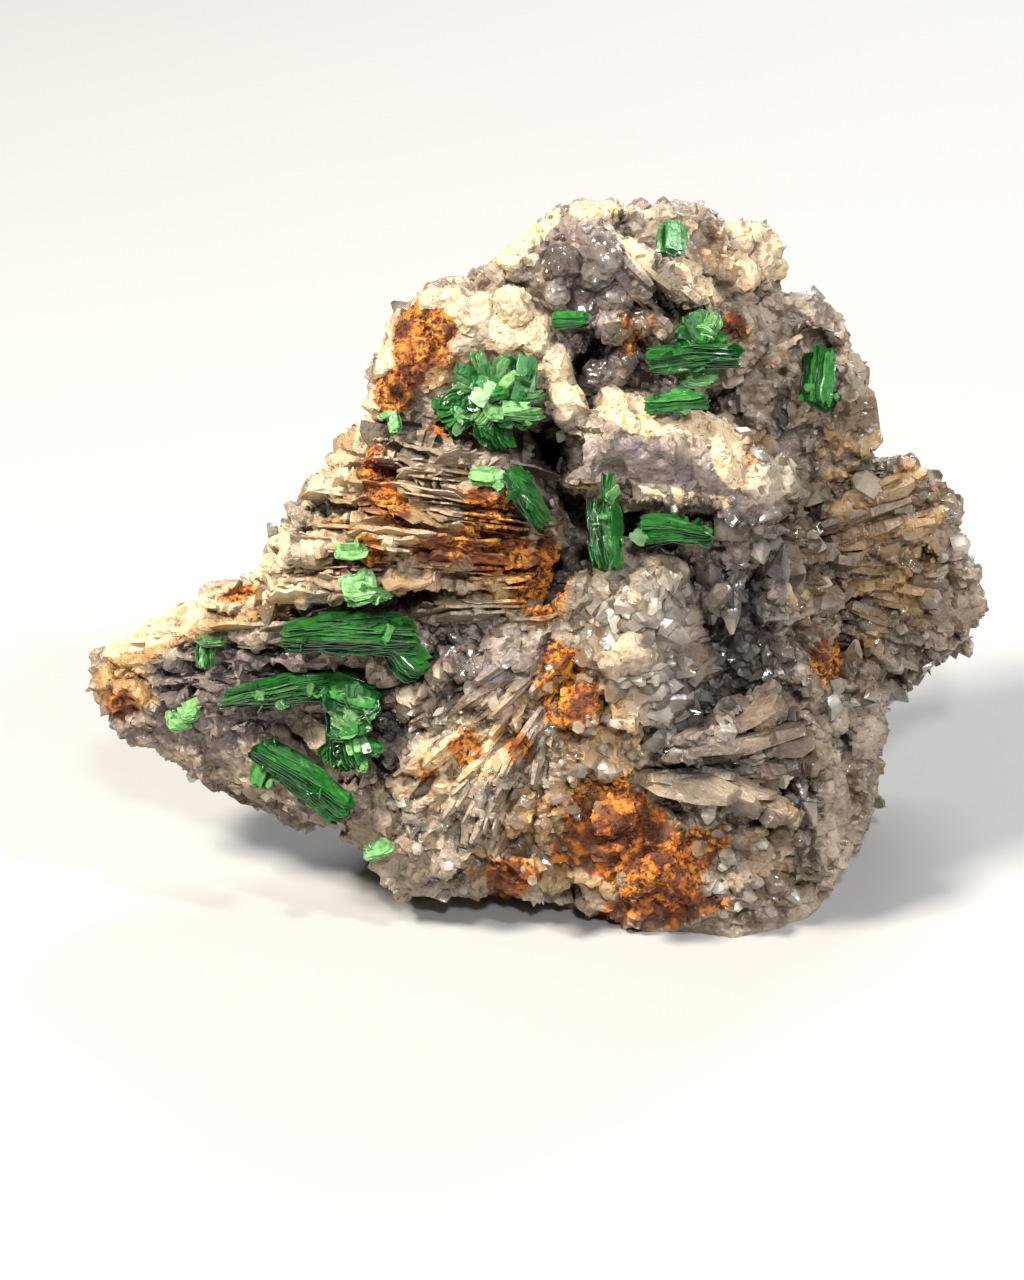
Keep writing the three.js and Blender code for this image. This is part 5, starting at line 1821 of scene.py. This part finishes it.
@dataclass(frozen=True)
class QuartzFinish:
    """Quartz with its stains: grey, mauve, ochre, brown patches, cream crust, rust and umber, and painted shade in its
    hollows and in the painted shade patches.
    """

    name: str
    light: Three = (0.39, 0.31, 0.218)
    dark: Three = (0.08, 0.056, 0.038)
    mauve: Three = (0.105, 0.078, 0.078)
    ochre: Three = (0.42, 0.23, 0.07)
    brown: Three = (0.17, 0.10, 0.045)
    cream: Three = (0.53, 0.42, 0.275)
    rust: Three = (0.50, 0.145, 0.010)
    gold: Three = (0.58, 0.25, 0.02)
    red: Three = (0.11, 0.024, 0.005)
    umber: Three = (0.07, 0.018, 0.006)
    # The colour of the painted shade, near black
    shade: Three = (0.022, 0.016, 0.012)
    gloss: Two = (0.2, 0.6)

    def stained(self, n: Nodes, name: str, size: float, low: float, high: float) -> Socket:
        """Gives a stain's strength with its edge broken up by noise.

        Args:
            n: The material's nodes.
            name: The stain's attribute.
            size: The size of the patches at its edge, in millimetres.
            low: Where the stain starts.
            high: Where it is full.

        Returns:
            Its strength.
        """
        broken = n.maths("ADD", n.value(name), n.scaled(n.noise(size, 6.0), -0.5, 0.5))
        return n.ramp(broken, low, high)

    def material(self) -> bpy.types.Material:
        """Makes the material.

        Returns:
            The material.
        """
        n = Nodes(self.name)
        broad = n.ramp(n.noise(2.6, 5.0), 0.35, 0.66)
        fine = n.ramp(n.noise(0.5, 6.0), 0.36, 0.68)
        tone = n.value("tone")
        colour = n.mix(n.times(broad, n.scaled(tone, 0.35, 1.0)), self.dark, self.light)
        colour = n.mix(n.scaled(fine, 0.0, 0.45), colour, self.light)
        colour = n.mix(n.scaled(n.ramp(n.noise(7.0, 5.0), 0.46, 0.66), 0.0, 0.45), colour, self.brown)
        mauve = n.times(n.value("mauve"), n.scaled(broad, 0.95, 0.6))
        colour = n.mix(mauve, colour, self.mauve)
        ochre = n.times(self.stained(n, "ochre", 1.1, 0.2, 0.8), n.scaled(tone, 0.9, 0.45))
        colour = n.mix(ochre, colour, self.ochre)
        cream = self.stained(n, "cream", 0.9, 0.32, 0.66)
        colour = n.mix(cream, colour, n.mix(n.scaled(fine, 0.0, 0.5), self.cream, self.ochre))
        # Painted shade: the hollows, by how shut in they are, and the painted shade patches are darkened towards near
        # black
        shut = n.ramp(n.value("hollow"), 0.22, 0.8)
        colour = n.mix(n.times(shut, 0.84), colour, self.shade)
        colour = n.mix(n.times(n.value("shade"), 0.8), colour, self.shade)
        rusted = self.stained(n, "rust", 0.7, 0.3, 0.62)
        orange = n.mix(n.ramp(n.noise(1.1, 4.0), 0.42, 0.66), self.rust, self.gold)
        orange = n.mix(n.ramp(n.noise(1.6, 4.0), 0.5, 0.62), orange, self.red)
        orange = n.mix(n.ramp(n.noise(0.3, 5.0), 0.44, 0.6), orange, self.umber)
        colour = n.mix(rusted, colour, orange)
        umber = self.stained(n, "umber", 0.8, 0.42, 0.72)
        deep = n.mix(n.ramp(n.noise(0.6, 5.0), 0.4, 0.62), self.umber, self.red)
        deep = n.mix(n.ramp(n.noise(0.9, 6.0), 0.5, 0.58), deep, self.rust)
        colour = n.mix(n.times(umber, 0.85), colour, deep)
        grain = n.noise(0.16, 4.0)
        colour = n.mix(n.scaled(grain, 0.0, 0.6), colour, n.mix(grain, (0.4, 0.4, 0.4), (1.5, 1.5, 1.5)), "MULTIPLY")
        n.base(colour)
        dull = n.maths("MAXIMUM", n.maths("MAXIMUM", rusted, umber), n.scaled(cream, 0.0, 0.8))
        n.rough(n.maths("MAXIMUM", n.scaled(n.crystals(0.45), *self.gloss), n.scaled(dull, 0.0, 0.9)))
        n.bump((n.noise(0.3, 6.0), 0.12), (n.crystals(0.3, output="Distance"), 0.05), (n.noise(0.09, 3.0), 0.03))
        n.fixed(IOR=QUARTZ_IOR)
        return n.material


@dataclass(frozen=True)
class GlassyQuartzFinish:
    """Clear to smoky quartz crystals with clean, glassy faces, darkened by painted shade in the hollows."""

    clear: Three = (0.80, 0.72, 0.60)
    smoky: Three = (0.17, 0.13, 0.095)
    # The colour of the painted shade, near black
    painted_shade_colour: Three = (0.03, 0.02, 0.014)
    mauve: Three = (0.13, 0.10, 0.095)
    ochre: Three = (0.42, 0.24, 0.09)

    def material(self) -> bpy.types.Material:
        """Makes the material.

        Returns:
            The material.
        """
        n = Nodes("quartz_crystal")
        cloud = n.ramp(n.noise(0.9, 5.0), 0.34, 0.68)
        tone = n.ramp(n.value("tone"), 0.0, 1.0)
        shine = n.ramp(n.maths("ADD", n.scaled(cloud, -0.2, 0.3), tone), 0.1, 1.0)
        colour = n.mix(shine, self.smoky, self.clear)
        colour = n.mix(n.times(n.value("mauve"), 0.7), colour, self.mauve)
        colour = n.mix(n.times(n.value("ochre"), n.scaled(cloud, 0.8, 0.2)), colour, self.ochre)
        # Painted shade in the hollows, by how shut in each crystal stands
        colour = n.mix(n.times(n.ramp(n.value("hollow"), 0.4, 1.0), 0.45), colour, self.painted_shade_colour)
        colour = n.mix(n.times(n.value("rust"), n.scaled(cloud, 0.7, 0.1)), colour, self.ochre)
        # Painted shade where the painted shade patches lie
        colour = n.mix(n.times(n.value("shade"), 0.4), colour, self.painted_shade_colour)
        n.base(colour)
        n.rough(n.scaled(n.times(tone, cloud), 0.05, 0.3))
        n.bump((n.noise(0.5, 4.0), 0.06), (n.noise(0.14, 3.0), 0.018))
        n.fixed(IOR=QUARTZ_IOR, Transmission_Weight=0.55)
        return n.material


@dataclass(frozen=True)
class TorberniteFinish:
    """Torbernite: emerald plates with a pearly face, deep to light green plate by plate, with darker veins, and pale
    on the pale books; the change across a stack is painted shade and light, and the palest plates at the upper left
    rosette's middle are a painted highlight.
    """

    deep: Three = (0.002, 0.024, 0.008)
    green: Three = (0.045, 0.30, 0.042)
    pale: Three = (0.33, 0.67, 0.23)

    def material(self) -> bpy.types.Material:
        """Makes the material.

        Returns:
            The material.
        """
        n = Nodes("torbernite")
        # The plates' tone: partly random, partly painted shade on the plates nearer the rock
        colour = n.mix(n.ramp(n.value("tone"), 0.2, 1.0), self.deep, self.green)
        cloud = n.ramp(n.noise(0.8, 4.0), 0.4, 0.7)
        colour = n.mix(n.scaled(cloud, 0.0, 0.5), colour, self.green)
        # Pale: partly the paler green of some books, and at the upper left rosette's middle a painted highlight
        colour = n.mix(n.ramp(n.value("pale"), 0.3, 1.0), colour, self.pale)
        veins = n.ramp(n.noise(0.35, 5.0), 0.36, 0.64)
        colour = n.mix(n.scaled(veins, 0.5, 0.0), colour, self.deep)
        n.base(colour)
        n.rough(n.scaled(n.noise(0.3, 3.0), 0.07, 0.3))
        n.bump((n.noise(0.3, 4.0), 0.05), (n.noise(0.08, 3.0), 0.016))
        n.fixed(IOR=TORBERNITE_IOR, Transmission_Weight=0.4, Coat_Weight=0.5, Coat_Roughness=0.06)
        return n.material


@dataclass(frozen=True)
class FloorFinish:
    """A plain pale studio floor."""

    tint: Three = (0.34, 0.33, 0.315)
    worn: Three = (0.28, 0.27, 0.26)

    def material(self) -> bpy.types.Material:
        """Makes the material.

        Returns:
            The material.
        """
        n = Nodes("floor")
        n.base(n.mix(n.scaled(n.noise(40.0, 2.0), 0.0, 0.06), self.tint, self.worn))
        n.fixed(Roughness=0.8)
        return n.material


@dataclass
class Studio:
    """The floor, the soft lights and the camera."""

    reach: float = 0.9
    frame_height: float = 66.9
    sensor: float = 36.0
    aim: float = 0.016
    surround: float = 0.1
    warm: Three = (1.0, 0.94, 0.86)
    cool: Three = (0.93, 0.96, 1.0)
    lights: list[tuple[str, Three, float, float]] = field(
        default_factory=lambda: [
            ("key", (-0.22, -0.16, 0.32), 0.08, 4.2),
            ("glint", (0.02, -0.34, 0.26), 0.03, 1.2),
            ("spark", (0.24, -0.20, 0.30), 0.03, 1.2),
            ("fill", (0.32, -0.26, 0.14), 0.30, 0.36),
            ("rim", (0.10, 0.30, 0.26), 0.18, 1.6),
        ]
    )

    def floor(self) -> Piece:
        """Makes the floor, curved up far behind the specimen.

        Returns:
            The floor.
        """
        bpy.ops.object.select_all(action="DESELECT")
        bpy.ops.mesh.primitive_plane_add(size=1.0)
        piece = bpy.context.active_object
        piece.name = "studio_floor"
        bpy.ops.object.mode_set(mode="EDIT")
        bpy.ops.transform.resize(value=(self.reach * 2, self.reach * 1.4, 1.0))
        bpy.ops.mesh.select_all(action="DESELECT")
        bpy.ops.object.mode_set(mode="OBJECT")
        for edge in piece.data.edges:
            edge.select = all(piece.data.vertices[i].co.y > 0 for i in edge.vertices)
        bpy.ops.object.mode_set(mode="EDIT")
        bpy.ops.mesh.extrude_region_move(TRANSFORM_OT_translate={"value": (0.0, 0.3, 0.08)})
        bpy.ops.mesh.extrude_region_move(TRANSFORM_OT_translate={"value": (0.0, 0.1, 0.4)})
        bpy.ops.object.mode_set(mode="OBJECT")
        bpy.ops.object.shade_smooth()
        piece.data.materials.append(FloorFinish().material())
        return piece

    def light(self) -> None:
        """Sets the soft lights and a dim surround."""
        for name, place, size, power in self.lights:
            bpy.ops.object.light_add(type="AREA", location=place)
            lamp = bpy.context.active_object
            lamp.name = f"{name}_light"
            lamp.data.size = size
            lamp.data.energy = power
            lamp.data.color = self.warm if name == "key" else self.cool
            lamp.rotation_euler = (Vector((0, 0, self.aim)) - Vector(place)).to_track_quat("-Z", "Y").to_euler()
        world = bpy.data.worlds.new("studio") if bpy.context.scene.world is None else bpy.context.scene.world
        bpy.context.scene.world = world
        world.use_nodes = True
        background = world.node_tree.nodes["Background"]
        background.inputs["Color"].default_value = (1.0, 0.98, 0.95, 1.0)
        background.inputs["Strength"].default_value = self.surround

    def camera(self) -> None:
        """Sets the camera where the eye is, with the photograph's frame."""
        place = Vector(EYE.place * MM)
        centre = Vector(EYE.centre * MM)
        bpy.ops.object.camera_add(location=place)
        camera = bpy.context.active_object
        camera.rotation_euler = (centre - place).to_track_quat("-Z", "Y").to_euler()
        camera.data.sensor_fit = "VERTICAL"
        camera.data.sensor_height = self.sensor
        camera.data.lens = self.sensor * EYE.distance / self.frame_height
        camera.data.clip_start = 0.01
        camera.data.clip_end = 10.0
        camera.data.dof.use_dof = False
        bpy.context.scene.camera = camera


def settle(piece: Piece, material: bpy.types.Material) -> None:
    """Gives a piece its finish and the body that it rides on.

    Args:
        piece: The piece.
        material: Its finish.
    """
    piece.data.materials.clear()
    piece.data.materials.append(material)
    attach(piece, "root")
    LOG.info("%s: %d triangles", piece.name, triangles_of(piece))


CRUST_SEED, CLUSTER_SEED = 900, 1000


def main() -> None:
    """Builds the specimen and its studio."""
    logging.basicConfig(level=logging.INFO, format="%(message)s")
    bpy.context.scene.view_settings.view_transform = "Standard"
    studio = Studio()
    studio.camera()
    studio.floor()
    studio.light()
    shapes = Shapes()
    rock = RockFace()
    rock.build()
    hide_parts("quartz_matrix")
    surface = Surface(rock.piece)
    # How shut in the rock is at each point, which its finish darkens as painted shade in the hollows
    set_value(rock.piece, "hollow", surface.hollow(points_of(rock.piece), normals_of(rock.piece)))
    rocky = QuartzFinish("quartz_rock").material()
    crystal = GlassyQuartzFinish().material()
    settle(rock.piece, rocky)
    settle(Nodules(surface, "quartz_nodules", Nodules.GLASSY, 0.0).build(), crystal)
    settle(Nodules(surface, "cream_lumps", Nodules.CREAM, 0.55).build(), rocky)
    settle(QuartzBlades(surface, shapes).build(), rocky)
    settle(QuartzCrystals(surface, shapes).build(), crystal)
    for index, crust in enumerate(GrainCrust.CRUSTS):
        finish = crystal if crust.kind is None else rocky
        settle(GrainCrust(surface, shapes, crust, CRUST_SEED + index).build(), finish)
    green = TorberniteFinish().material()
    for index, (name, books) in enumerate(BOOKS.items()):
        settle(TorberniteCluster(name, books, shapes, CLUSTER_SEED + index).build(), green)


if __name__ == "__main__":
    main()
